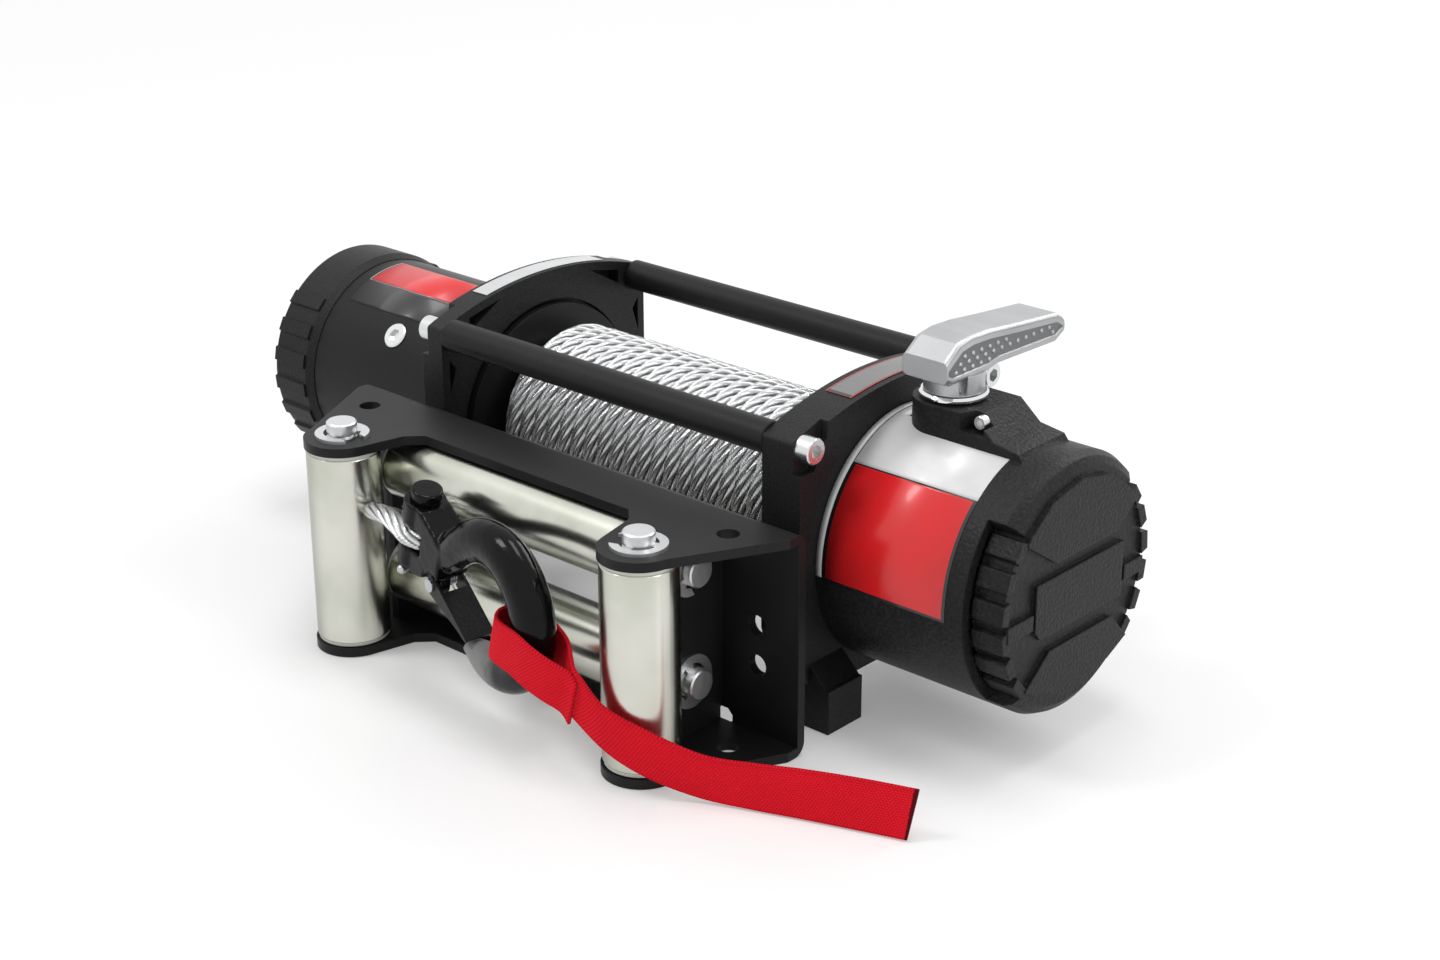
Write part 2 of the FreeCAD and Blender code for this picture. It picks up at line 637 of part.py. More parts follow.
def outer_layer():
    """The turns of the outer layer as one tube, from the gear side to where the rope leaves."""
    radius = val("Sizes.layer_radius")
    pitch = val("Sizes.rope_pitch")
    diameter = val("Sizes.rope_diameter")
    margin = val("Sizes.layer_margin")
    leave, _ = lead_angle()
    end_x = -val(FLANGE_IN) + margin
    turns = int((2 * val(FLANGE_IN) - margin - diameter / 2 - 1) / pitch)

    def place(half_turns):
        """Point and direction after so many half turns back from where the rope leaves."""
        angle = leave + math.pi * half_turns
        x = end_x + pitch * half_turns / 2
        point = drum_point(angle, x, radius)
        way = Vector(-pitch / (2 * math.pi), radius * math.sin(angle), -radius * math.cos(angle))
        return point, unit(way)

    steps = [place(number) for number in range(2 * turns, -1, -1)]
    first, first_way = steps[0]
    last, last_way = steps[-1]
    edges = [Part.LineSegment(first - first_way * diameter, first).toShape()]
    for (start, start_way), (end, end_way) in zip(steps, steps[1:]):
        pair = biarc(start, start_way, end, end_way)
        edges.extend(pair)
    edges.append(Part.LineSegment(last, last + last_way * diameter).toShape())
    points = []
    for edge in edges[1:-1]:
        points.extend(edge.discretize(13)[:-1])
    print("outer layer: %d turns, least gap to itself %.2f mm"
          % (turns, least_gap(points, 30, diameter)))
    return tube_along(edges, diameter / 2), last + last_way * diameter, last_way


rope_layer, lead_start, lead_way = outer_layer()
set_shape("rope_outer_layer", rope_layer)


def eased_route(name, points, rounding=0.45):
    """Edges along a route: straight runs joined by arcs as large as the runs allow."""
    edges = []
    radii = []
    here = points[0]
    for before, corner, after in zip(points, points[1:], points[2:]):
        way_in, way_out = unit(corner - before), unit(after - corner)
        turn = math.acos(max(-1.0, min(1.0, way_in.dot(way_out))))
        cut = rounding * min((corner - before).Length, (after - corner).Length)
        radius = cut / math.tan(turn / 2)
        start, end = corner - way_in * cut, corner + way_out * cut
        middle = corner + unit(way_out - way_in) * (math.hypot(cut, radius) - radius)
        if (start - here).Length > 1e-4:
            edges.append(Part.LineSegment(here, start).toShape())
        edges.append(Part.Arc(start, middle, end).toShape())
        radii.append(radius)
        here = end
    edges.append(Part.LineSegment(here, points[-1]).toShape())
    print(name + " arc radii:", ", ".join("%.1f" % radius for radius in radii))
    return edges


def report_tube(name, edges, radius, shape):
    """Prints a tube's length and compares its volume with its section times its length."""
    length = sum(edge.Length for edge in edges)
    share = shape.Volume / (math.pi * radius * radius * length)
    print("%s: %.0f mm long, volume %.3f of section times length" % (name, length, share))


# Hook frame, used by the eye of the rope, the clevis, the hook and the strap

HOOK_PIN = Vector(val("Sizes.hook_pin_along"), -val("Sizes.hook_pin_forward"),
                  val("Sizes.hook_pin_height"))
heading = math.radians(val("Sizes.hook_heading"))
pitch = math.radians(val("Sizes.hook_pitch"))
LOAD_WAY = Vector(math.cos(heading) * math.cos(pitch), math.sin(heading) * math.cos(pitch),
                  -math.sin(pitch))
PIN_WAY = Vector(math.cos(heading) * math.sin(pitch), math.sin(heading) * math.sin(pitch),
                 math.cos(pitch))
SIDE_WAY = PIN_WAY.cross(LOAD_WAY)


def on_hook(along, above=0.0, beside=0.0):
    """A point in the hook's own frame: along the load line, up the clevis pin and sideways."""
    return HOOK_PIN + LOAD_WAY * along + PIN_WAY * above + SIDE_WAY * beside


# Rope lead, ferrule and eye

LEG_SPREAD = val("Sizes.rope_diameter") + 0.8
EYE_X = -76.0
FERRULE_FRONT = -val("Sizes.fairlead_back") + 1.0
FERRULE_LENGTH = 28.0


def rope_end():
    """The lead from the drum, the ferrule, and the eye round the clevis pin."""
    radius = val("Sizes.rope_diameter / 2")
    gap_middle = val("Sizes.level_middle")
    front = Vector(EYE_X, FERRULE_FRONT, gap_middle - 2)
    approach = lead_start + lead_way * 20
    ferrule_way = unit(front - approach)
    back = front - ferrule_way * FERRULE_LENGTH
    edges = eased_route("rope_lead", [lead_start, approach, back])
    lead = tube_along(edges, radius)
    report_tube("rope_lead", edges, radius, lead)
    set_shape("rope_lead", lead)
    sleeve = Part.makeCylinder(2.35 * radius, FERRULE_LENGTH, back, ferrule_way)
    rims = [edge for edge in sleeve.Edges if isinstance(edge.Curve, Part.Circle)]
    sleeve = sleeve.makeFillet(1.5, rims)
    half = LEG_SPREAD / 2
    loop = val("Sizes.clevis_pin_radius") + radius + 0.4
    outer_tangent, inner_tangent = on_hook(0, 0, -loop), on_hook(0, 0, loop)
    outer = [
        Vector(EYE_X - half, FERRULE_FRONT, gap_middle - 2),
        Vector(EYE_X - half, -128, gap_middle + 2.5),
        Vector(EYE_X - half - 0.5, -162, gap_middle + 21.5),
        on_hook(-17, 0, -loop),
        outer_tangent]
    inner = [
        inner_tangent,
        on_hook(-14, 0, loop),
        Vector(EYE_X + half + 0.5, -146, gap_middle + 19),
        Vector(EYE_X + half, -128, gap_middle + 4.5),
        Vector(EYE_X + half, FERRULE_FRONT, gap_middle - 2)]
    turn_round = Part.Arc(outer_tangent, on_hook(loop, 0, 0), inner_tangent).toShape()
    edges = (eased_route("rope_eye outer leg", outer) + [turn_round]
             + eased_route("rope_eye inner leg", inner))
    eye = tube_along(edges, radius)
    report_tube("rope_eye", edges, radius, eye)
    set_shape("rope_eye", eye)
    set_shape("eye_ferrule", sleeve.cut(eye))


rope_end()


# Motor

MOTOR_FAR = "(" + MOTOR_BACK + " + Sizes.motor_length)"
CAP_FAR = "(" + MOTOR_FAR + " + Sizes.cap_length)"
CASE_INSIDE = "(Sizes.motor_radius - Sizes.motor_wall)"

turned_body("motor_case", [
    ("-" + MOTOR_BACK, "Sizes.shaft_radius + 9"), ("-" + MOTOR_BACK, "Sizes.motor_radius"),
    ("-" + MOTOR_FAR, "Sizes.motor_radius"), ("-" + MOTOR_FAR, CASE_INSIDE),
    ("-" + MOTOR_BACK + " - 5", CASE_INSIDE), ("-" + MOTOR_BACK + " - 5", "Sizes.shaft_radius + 14"),
    ("-" + MOTOR_BACK + " - 9", "Sizes.shaft_radius + 14"),
    ("-" + MOTOR_BACK + " - 9", "Sizes.shaft_radius + 9")], z=AXIS)


def polar_block(sketch, inner, outer, middle_angle, half_angle, draw_in=1.5):
    """A four sided block across the drum, its angle counted from the top towards the front."""
    corners = []
    outer_half = half_angle - draw_in
    for reach, angle in ((inner, middle_angle - half_angle), (outer, middle_angle - outer_half),
                         (outer, middle_angle + outer_half), (inner, middle_angle + half_angle)):
        corners.append(("-(%s) * sin(%g)" % (reach, angle), "(%s) * cos(%g)" % (reach, angle)))
    return outline(sketch, corners)


def motor_end_cap():
    """The cup that closes the motor: a chamfered mouth, a flat end and grip ribs down both sides."""
    label = "motor_end_cap"
    body = new_body(label, "-" + MOTOR_FAR, "0", AXIS)
    length, radius, wall = "Sizes.cap_length", "Sizes.cap_radius", "Sizes.cap_wall"
    profile = outline(new_sketch(body, label + "Profile", "XZ_Plane"), [
        ("0", CASE_INSIDE), ("0", radius + " - 2.4"), ("-5", radius),
        ("-" + length + " + 5", radius), ("-" + length, radius + " - 5"), ("-" + length, "8"),
        ("-" + length + " + " + wall, "8"), ("-" + length + " + " + wall, radius + " - 10"),
        ("-9", radius + " - " + wall + " - 4"), ("-9", CASE_INSIDE)])
    turned(body, profile, "X_Axis")
    for name, first_angle in (("Front", 47), ("Rear", -128)):
        ribs = new_sketch(body, label + name + "Rib", "YZ_Plane", "-" + length + " + 5.2")
        polar_block(ribs, radius + " - 2", radius + " + Sizes.cap_rib_height", first_angle, 5)
        polar(body, pad(body, ribs, length + " - 10.4"), "X_Axis", "6", "81")
    hub = circle(new_sketch(body, label + "Hub", "YZ_Plane", "-" + length), "0", "0", "13")
    circle(hub, "0", "0", "9")
    pad(body, hub, "16")
    return body


motor_end_cap()


def motor_bearings():
    """The two bearings of the armature."""
    inner, outer = val("Sizes.shaft_radius + Sizes.journal_gap"), val("Sizes.shaft_radius") + 8.9
    far = -val(CAP_FAR)
    near = -val(MOTOR_BACK)
    return Part.makeCompound([ring_along_x(8.9, inner, far + 5, far + 14),
                              ring_along_x(outer, inner, near - 8.5, near - 1)])


set_shape("motor_bearings", motor_bearings())


def sector(inner, outer, start_x, end_x, middle_angle, half_angle):
    """A block between two radii about the drum axis, over a span of angles from the top."""
    ring = Part.makeCylinder(outer, end_x - start_x, Vector(start_x, 0, val(AXIS)), Vector(1, 0, 0))
    ring = ring.cut(Part.makeCylinder(inner, end_x - start_x, Vector(start_x, 0, val(AXIS)),
                                      Vector(1, 0, 0)))
    far = 2 * outer
    centre = Vector(start_x, 0, val(AXIS))
    corners = [centre]
    for angle in (middle_angle - half_angle, middle_angle + half_angle):
        reach = far / math.cos(math.radians(half_angle))
        corners.append(centre + Vector(0, -reach * math.sin(math.radians(angle)),
                                       reach * math.cos(math.radians(angle))))
    corners.append(centre)
    wedge = Part.Face(Part.makePolygon(corners)).extrude(Vector(end_x - start_x, 0, 0))
    return ring.common(wedge)


POLE_ANGLES = [49.7 + 90 * k for k in range(4)]
POLE_X = "(" + MOTOR_BACK + " + 60.5)"


def radial_screw(angle, x, seat_radius, head_radius, head_height, shank_radius, shank_length):
    """A round screw that points at the drum axis."""
    screw = socket_screw(head_radius, head_height, shank_radius, shank_length,
                         head_radius * 0.5, head_height * 0.8)
    screw.Placement = Placement(
        Vector(x, -seat_radius * math.sin(math.radians(angle)),
               val(AXIS) + seat_radius * math.cos(math.radians(angle))),
        Rotation(Vector(1, 0, 0), angle))
    return screw


def field_parts():
    """Pole shoes, the coils round them, and the screws that hold them in the motor case."""
    inside = val(CASE_INSIDE)
    gap = val("Sizes.armature_radius") + 1.2
    middle = -val(POLE_X)
    shoes, coils, screws = [], [], []
    for angle in POLE_ANGLES:
        shoe = sector(gap, gap + 5, middle - 32, middle + 32, angle, 33)
        neck = sector(gap + 4.9, inside - 0.2, middle - 24, middle + 24, angle, 15)
        coil = sector(gap + 5.4, inside - 1.5, middle - 34, middle + 34, angle, 30)
        hole = sector(gap + 5.3, inside, middle - 25, middle + 25, angle, 17)
        shank, seat = val("Sizes.pole_shank_radius"), val("Sizes.motor_radius - Sizes.pole_seat_depth")
        thread = radial_screw(angle, middle, seat, shank + 3, 2.2, shank + 0.1, 14)
        shoes.append(shoe.fuse(neck).cut(thread))
        coils.append(coil.cut(hole))
        screws.append(radial_screw(angle, middle, seat, val("Sizes.pole_screw_radius"), 2.6, shank, 13.0))
    set_shape("pole_shoes", Part.makeCompound(shoes))
    set_shape("field_coils", Part.makeCompound(coils))
    set_shape("pole_shoe_screws", Part.makeCompound(screws))


def pole_screw_holes():
    """A flat seat and a hole in the motor case for each pole shoe screw."""
    case = doc.getObject("motor_case")
    for name, radius, floor in (
            ("Seat", "Sizes.pole_screw_radius + 0.2", "(Sizes.motor_radius - Sizes.pole_seat_depth)"),
            ("Hole", "Sizes.pole_shank_radius + 0.3", "(" + CASE_INSIDE + " - 4)")):
        sketch = circle(new_sketch(case, "PoleScrew" + name, "XY_Plane"), "-" + POLE_X, "0", radius)
        sketch.AttachmentOffset = Placement(Vector(), Rotation(Vector(1, 0, 0), POLE_ANGLES[0]))
        sketch.setExpression("AttachmentOffset.Base.y", "-%s * sin(%g)" % (floor, POLE_ANGLES[0]))
        sketch.setExpression("AttachmentOffset.Base.z", "%s * cos(%g)" % (floor, POLE_ANGLES[0]))
        polar(case, pocket(case, sketch, "12", reverse=True), "X_Axis", "4")


field_parts()
pole_screw_holes()


def armature():
    """The armature core with its windings, and the commutator."""
    far, near = -val(MOTOR_FAR), -val(MOTOR_BACK)
    middle = -val(POLE_X)
    core = Part.makeCylinder(val("Sizes.armature_radius"), 62, Vector(middle - 31, 0, val(AXIS)),
                             Vector(1, 0, 0))
    slot = Part.makeBox(64, 3.0, 6, Vector(middle - 32, -1.5, val(AXIS) + val("Sizes.armature_radius") - 5))
    for number in range(12):
        turned_slot = slot.copy()
        turned_slot.rotate(Vector(0, 0, val(AXIS)), Vector(1, 0, 0), 30 * number)
        core = core.cut(turned_slot)
    for start in (middle - 43, middle + 31):
        core = core.fuse(Part.makeCylinder(val("Sizes.armature_radius") - 8, 12,
                                           Vector(start, 0, val(AXIS)), Vector(1, 0, 0)))
    core = core.cut(Part.makeCylinder(val("Sizes.shaft_radius"), near - far,
                                      Vector(far, 0, val(AXIS)), Vector(1, 0, 0)))
    set_shape("armature_core", core)
    segments = []
    for number in range(12):
        segments.append(sector(val("Sizes.shaft_radius") + 2.9, 17.0, middle - 62, middle - 44,
                               30 * number, 14.0))
    commutator = ring_along_x(val("Sizes.shaft_radius") + 3, val("Sizes.shaft_radius"),
                              middle - 62.5, middle - 43.5)
    for segment in segments:
        commutator = commutator.fuse(segment)
    set_shape("commutator", commutator)
    brushes = []
    for number in range(4):
        brushes.append(sector(17.3, 40, middle - 60, middle - 46, 45 + 90 * number, 8))
    holder = Part.makeCylinder(val(CASE_INSIDE) - 0.2, 4, Vector(middle - 65.5, 0, val(AXIS)),
                               Vector(1, 0, 0))
    holder = holder.cut(Part.makeCylinder(19, 4, Vector(middle - 65.5, 0, val(AXIS)), Vector(1, 0, 0)))
    for number in range(4):
        wall = sector(17.6, 43, middle - 62, middle - 44, 45 + 90 * number, 13)
        room = sector(17, 44, middle - 60.1, middle - 43, 45 + 90 * number, 8.6)
        holder = holder.fuse(wall.cut(room))
    set_shape("brush_gear", Part.makeCompound([holder] + brushes))


armature()


def terminals():
    """Three threaded terminals with their nuts and insulators on the back of the motor."""
    studs, collars = [], []
    surface = val("Sizes.motor_radius") - 2.0
    case = Part.makeCylinder(val("Sizes.motor_radius"), val("Sizes.motor_length"),
                             Vector(-val(MOTOR_FAR), 0, val(AXIS)), Vector(1, 0, 0))
    for offset in (-30, 0, 30):
        base = Vector(-val(POLE_X) + offset, surface, val(AXIS))
        collar = Part.makeCylinder(8, 7, base, Vector(0, 1, 0))
        hole = Part.makeCylinder(3.05, 30, base - Vector(0, 12, 0), Vector(0, 1, 0))
        collars.append(collar.cut(hole).cut(case))
        stud = Part.makeCylinder(3.0, 22, base, Vector(0, 1, 0)).cut(case)
        nut = Part.makeCylinder(5.6, 5, base + Vector(0, 7, 0), Vector(0, 1, 0))
        studs.append(stud.fuse(nut))
    set_shape("motor_terminals", Part.makeCompound(collars + studs))


terminals()


# Gear housing

GEAR_END = "(" + GEAR_FACE + " + Sizes.gear_case_length)"
CASE_BORE = "(Sizes.gear_case_radius - Sizes.gear_case_wall)"
RIM_START = "(Sizes.gear_case_length - Sizes.rim_length)"


def gear_housing():
    """The closed gear housing: rim blocks, raised panels on its face and the clutch boss on top."""
    label = "gear_housing"
    body = new_body(label, GEAR_FACE, "0", AXIS)
    length, radius, face = "Sizes.gear_case_length", "Sizes.gear_case_radius", "Sizes.gear_face_radius"
    profile = outline(new_sketch(body, label + "Profile", "XZ_Plane"), [
        ("0", CASE_BORE), ("0", radius), (length + " - 7", radius),
        (length + " - 2.5", radius + " - 2.2"), (length, face), (length, "0"),
        (length + " - Sizes.gear_case_wall", "0"),
        (length + " - Sizes.gear_case_wall", face + " - 10"), (RIM_START, face + " - 9"),
        (RIM_START, CASE_BORE)])
    turned(body, profile, "X_Axis")
    for name, first_angle in (("Front", 55), ("Rear", -130)):
        windows = new_sketch(body, label + name + "Window", "YZ_Plane", length + " + 3")
        polar_block(windows, radius + " - Sizes.rim_depth", radius + " + 8", first_angle, 7.6, -1)
        polar(body, pocket(body, windows, "Sizes.rim_length + 3"), "X_Axis", "6", "75")
        blocks = new_sketch(body, label + name + "Block", "YZ_Plane", RIM_START + " + 1.5")
        polar_block(blocks, radius + " - Sizes.rim_depth - 2", radius + " - Sizes.rim_block_drop",
                    first_angle, 6.0)
        polar(body, pad(body, blocks, "Sizes.rim_length + 0.5"), "X_Axis", "6", "75")
    panels = new_sketch(body, label + "Panels", "YZ_Plane", length)
    outline(panels, [("-36", "-2"), ("-56", "-2"), ("-56", "-10"), ("-36", "-10")])
    outline(panels, [("56", "-2"), ("40", "-2"), ("40", "-10"), ("56", "-10")])
    outline(panels, [("-34", "12"), ("38", "12"), ("38", "-17"), ("-30", "-17"), ("-34", "-12")])
    outline(panels, [("-21", "-26"), ("31", "-26"), ("45", "-41"), ("30", "-48"), ("10", "-54"),
                     ("-10", "-54"), ("-30", "-47"), ("-40", "-41")])
    outline(panels, [("-19", "19"), ("31", "19"), ("47", "31"), ("40", "40"), ("24", "51"),
                     ("0", "56"), ("-24", "51"), ("-40", "39"), ("-43", "35")])
    pad(body, panels, "Sizes.face_relief")
    boss = new_sketch(body, label + "Boss", "XZ_Plane")
    outline(boss, [
        ("Sizes.clutch_offset - Sizes.boss_half_width", radius + " - 12"),
        ("Sizes.clutch_offset - Sizes.boss_half_width", "Sizes.boss_above"),
        ("Sizes.clutch_offset + 26", "Sizes.boss_above"),
        ("Sizes.clutch_offset + 32", "Sizes.boss_above - 5"),
        ("Sizes.clutch_offset + 38", "Sizes.boss_above - 10"),
        ("Sizes.clutch_offset + 52", radius + " + 1"),
        ("Sizes.clutch_offset + 62", radius + " - 12")])
    pad(body, boss, "2 * Sizes.boss_half_width", both_ways=True)
    rounded(body, "Sizes.boss_half_width - 2", lambda edge: runs_along(edge, Vector(0, 0, 1), 6)
            and edge.CenterOfMass.x < val("Sizes.clutch_offset") and edge.CenterOfMass.z > 40)
    cavity = circle(new_sketch(body, label + "Cavity", "YZ_Plane"), "0", "0", CASE_BORE)
    pocket(body, cavity, RIM_START, reverse=True)
    well = circle(new_sketch(body, label + "ClutchBore", "XY_Plane", "Sizes.boss_above"),
                  "Sizes.clutch_offset", "0", "Sizes.clutch_shaft_radius + Sizes.journal_gap")
    pocket(body, well, "Sizes.clutch_shaft_depth + 0.5")
    pin_way = circle(new_sketch(body, label + "PinWay", "XY_Plane", "Sizes.boss_above"),
                     "Sizes.clutch_offset", "0", "Sizes.lock_pin_radius + 0.3")
    pocket(body, pin_way, "Sizes.boss_above - " + CASE_BORE + " + 4")
    recess = new_sketch(body, label + "Recess", "XY_Plane", "Sizes.boss_above - 9")
    outline(recess, [
        ("Sizes.clutch_offset + 15", "-Sizes.boss_half_width - 6"),
        ("Sizes.clutch_offset + 32", "-Sizes.boss_half_width - 6"),
        ("Sizes.clutch_offset + 32", "-Sizes.boss_half_width + 8"),
        ("Sizes.clutch_offset + 21", "-Sizes.boss_half_width + 8")])
    pocket(body, recess, "12", reverse=True)
    hole = circle(new_sketch(body, label + "SetScrewHole", "XZ_Plane", "Sizes.boss_half_width"),
                  "Sizes.clutch_offset + Sizes.set_screw_offset",
                  "Sizes.boss_above - Sizes.set_screw_drop", "Sizes.set_screw_radius + 0.1")
    pocket(body, hole, "16")
    return body


gear_housing()


def set_screw():
    """The small socket head screw in the recess of the boss."""
    radius = val("Sizes.set_screw_radius")
    seat = Vector(val(CLUTCH_X + " + Sizes.set_screw_offset"), 8 - val("Sizes.boss_half_width"),
                  val(AXIS + " + Sizes.boss_above - Sizes.set_screw_drop"))
    screw = socket_screw(1.7 * radius, 2 * radius, radius, 7.5, radius, 2.0)
    set_shape("clutch_set_screw", screw, Placement(seat, Rotation(Vector(1, 0, 0), 90)))


set_screw()


# Gear train: three planetary stages inside one fixed ring gear

PLANETS = 3
STAGE_STARTS = ["(" + GEAR_END + " - Sizes.gear_case_wall - 13 - Sizes.gear_width"
                + " - %d * Sizes.stage_step)" % stage for stage in range(3)]
SUN_END = "(" + STAGE_STARTS[0] + " + Sizes.gear_width)"


def gear_outline(teeth, module, play, inward=False):
    """Half tooth steps of a straight sided gear, the first tooth centred on the top."""
    pitch = teeth * module / 2
    add, dedent = 0.8 * module, 1.0 * module
    if inward:
        tip, root = pitch - add, pitch + dedent
    else:
        tip, root = pitch + add, pitch - dedent
    half_step = math.pi / teeth
    slope = 0.36
    half_tooth = half_step / 2 - play / 2 / pitch
    points = []
    for number in range(teeth):
        middle = 2 * half_step * number
        tip_half = half_tooth - slope * abs(tip - pitch) / pitch
        root_half = half_tooth + slope * abs(root - pitch) / pitch
        for reach, angle in ((root, -root_half), (tip, -tip_half), (tip, tip_half), (root, root_half)):
            points.append((reach, middle + angle))
    return points


def gear_prism(points, phase, start_x, width, centre_y=0.0, centre_z=0.0):
    """A straight toothed prism along X from polar points counted from the top to the front."""
    corners = [Vector(start_x, centre_y - reach * math.sin(angle + phase),
                      val(AXIS) + centre_z + reach * math.cos(angle + phase))
               for reach, angle in points]
    return Part.Face(Part.makePolygon(corners + corners[:1])).extrude(Vector(width, 0, 0))


def bored(shape, radius, start_x, width, y=0.0, z=0.0):
    """The shape with a round hole along X."""
    return shape.cut(Part.makeCylinder(radius, width + 2, Vector(start_x - 1, y, val(AXIS) + z),
                                       Vector(1, 0, 0)))


def gear_train():
    """Ring gear, sun gears, planet gears and carriers."""
    module, play = val("Sizes.gear_module"), val("Sizes.tooth_backlash")
    sun_teeth, planet_teeth = int(val("Sizes.sun_teeth")), int(val("Sizes.planet_teeth"))
    ring_teeth = int(val("Sizes.ring_teeth"))
    width, thickness = val("Sizes.gear_width"), val("Sizes.carrier_thickness")
    orbit = module * (sun_teeth + planet_teeth) / 2
    pin = val("Sizes.planet_pin_radius")
    bore = val("Sizes.shaft_radius") + 0.4
    ring_start, ring_width = val(GEAR_FACE) + 6, val(SUN_END) - val(GEAR_FACE) - 5
    ring = Part.makeCylinder(val(CASE_BORE) - 0.1, ring_width, Vector(ring_start, 0, val(AXIS)),
                             Vector(1, 0, 0))
    ring = ring.cut(gear_prism(gear_outline(ring_teeth, module, play, True), 0,
                               ring_start - 1, ring_width + 2))
    lock_floor = val(AXIS) + val(CASE_BORE) - val("Sizes.lock_pin_lift") - 0.5
    lock_hole = Part.makeCylinder(val("Sizes.lock_pin_radius") + 0.3, 20,
                                  Vector(val(CLUTCH_X), 0, lock_floor))
    set_shape("ring_gear", ring.cut(lock_hole))
    sun_points = gear_outline(sun_teeth, module, play)
    planet_points = gear_outline(planet_teeth, module, play)
    suns, carriers = [], []
    for stage, start in enumerate(STAGE_STARTS, start=1):
        x = val(start)
        sun_back = x if stage == 1 else x - 0.5
        sun_length = width if stage == 1 else val("Sizes.stage_step") - width - thickness + width + 0.5
        inside = bore if stage > 1 else val("Sizes.shaft_radius")
        sun = bored(gear_prism(sun_points, 0, sun_back, sun_length), inside, sun_back, sun_length)
        suns.append(sun)
        plate_x = x - 1.0 - thickness
        carrier = Part.makeCylinder(val("Sizes.carrier_radius"), thickness,
                                    Vector(plate_x, 0, val(AXIS)), Vector(1, 0, 0))
        for number in range(PLANETS):
            angle = 2 * math.pi * number / PLANETS
            y, z = -orbit * math.sin(angle), orbit * math.cos(angle)
            carrier = carrier.fuse(Part.makeCylinder(
                pin, thickness + 1 + width, Vector(plate_x, y, val(AXIS) + z), Vector(1, 0, 0)))
            planet = gear_prism(planet_points, math.pi / planet_teeth + angle, x, width, y, z)
            planet = bored(planet, pin + val("Sizes.journal_gap"), x, width, y, z)
            set_shape("planet_gear_%d_%s" % (stage, "abc"[number]), planet)
        if stage == 3:
            hub = Part.makeCylinder(14, plate_x - val(GEAR_FACE) - 1,
                                    Vector(val(GEAR_FACE) + 1, 0, val(AXIS)), Vector(1, 0, 0))
            carrier = carrier.fuse(hub)
        carriers.append(bored(carrier, bore, plate_x - 20, thickness + 20))
    shaft_start = 5.5 - val(CAP_FAR)
    shaft = Part.makeCylinder(val("Sizes.shaft_radius"), val(SUN_END) + 3 - shaft_start,
                              Vector(shaft_start, 0, val(AXIS)), Vector(1, 0, 0))
    set_shape("drive_shaft", shaft.fuse(suns[0]))
    for number, carrier in enumerate(carriers):
        if number < 2:
            carrier = carrier.fuse(suns[number + 1])
        set_shape("planet_carrier_%d" % (number + 1), carrier)


gear_train()


# Brake on the drive shaft, inside the drum

tube_body("brake_hub", "15", "Sizes.shaft_radius", "-22", "22", z=AXIS)


def brake_shoes():
    """Three friction shoes round the brake hub."""
    return Part.makeCompound([
        sector(15.3, val("Sizes.drum_bore_radius") - 0.4, -18, 18, 60 + 120 * number, 48)
        for number in range(3)])


set_shape("brake_shoes", brake_shoes())


# Clutch lever, ring, shaft and locking pin

def clutch_lever():
    """The cast lever: a round hub and a waisted grip that points to the back."""
    label = "clutch_lever"
    body = new_body(label, CLUTCH_X, "0", AXIS + " + Sizes.boss_above")
    under, reach, tail = "Sizes.lever_underside", "Sizes.lever_reach", "Sizes.lever_tail"
    side = outline(new_sketch(body, label + "Side", "YZ_Plane"), [
        ("-" + tail, under + " + 2"), ("-" + tail + " + 4", under), ("10", under),
        ("18", under + " + 1.5"), (reach + " - 6", under), (reach, under + " + 3"),
        (reach, under + " + 12"), (reach + " - 5", under + " + 15"), ("32", under + " + 18.5"),
        ("10", under + " + 21"), ("-4", under + " + 21.5"), ("-14", under + " + 20"),
        ("-" + tail, under + " + 13")])
    pad(body, side, "Sizes.lever_width", both_ways=True)
    rounded(body, "3.2", lambda edge: edge.BoundBox.YLength > 3 and edge.BoundBox.XLength < 0.01)
    hub = circle(new_sketch(body, label + "Hub", "XY_Plane", "3.8"), "0", "0",
                 "Sizes.clutch_shaft_radius + 8")
    pad(body, hub, under + " - 2")
    stem = circle(new_sketch(body, label + "Stem", "XY_Plane", "-Sizes.clutch_shaft_depth"), "0", "0",
                  "Sizes.clutch_shaft_radius")
    pad(body, stem, "Sizes.clutch_shaft_depth + 6")
    pin_room = circle(new_sketch(body, label + "PinRoom", "XY_Plane", "-Sizes.clutch_shaft_depth"),
                      "0", "0", "Sizes.lock_pin_radius + Sizes.journal_gap")
    pocket(body, pin_room, "Sizes.lock_pin_length + 2", reverse=True)
    return body


clutch_lever()
LOCK_PIN_LOW = "(" + CASE_BORE + " - Sizes.lock_pin_lift)"
tube_body("clutch_lock_pin", "Sizes.lock_pin_radius", None, LOCK_PIN_LOW,
          LOCK_PIN_LOW + " + Sizes.lock_pin_length", x=CLUTCH_X, z=AXIS, axis="Z")
turned_body("clutch_ring", [
    ("Sizes.clutch_shaft_radius + 0.3", "0.3"), ("Sizes.clutch_ring_radius - 1", "0.3"),
    ("Sizes.clutch_ring_radius", "1.3"), ("Sizes.clutch_ring_radius", "2.3"),
    ("Sizes.clutch_ring_radius - 1", "3.5"), ("Sizes.clutch_shaft_radius + 0.3", "3.5")],
    "Z_Axis", x=CLUTCH_X, z=AXIS + " + Sizes.boss_above")


# Fairlead

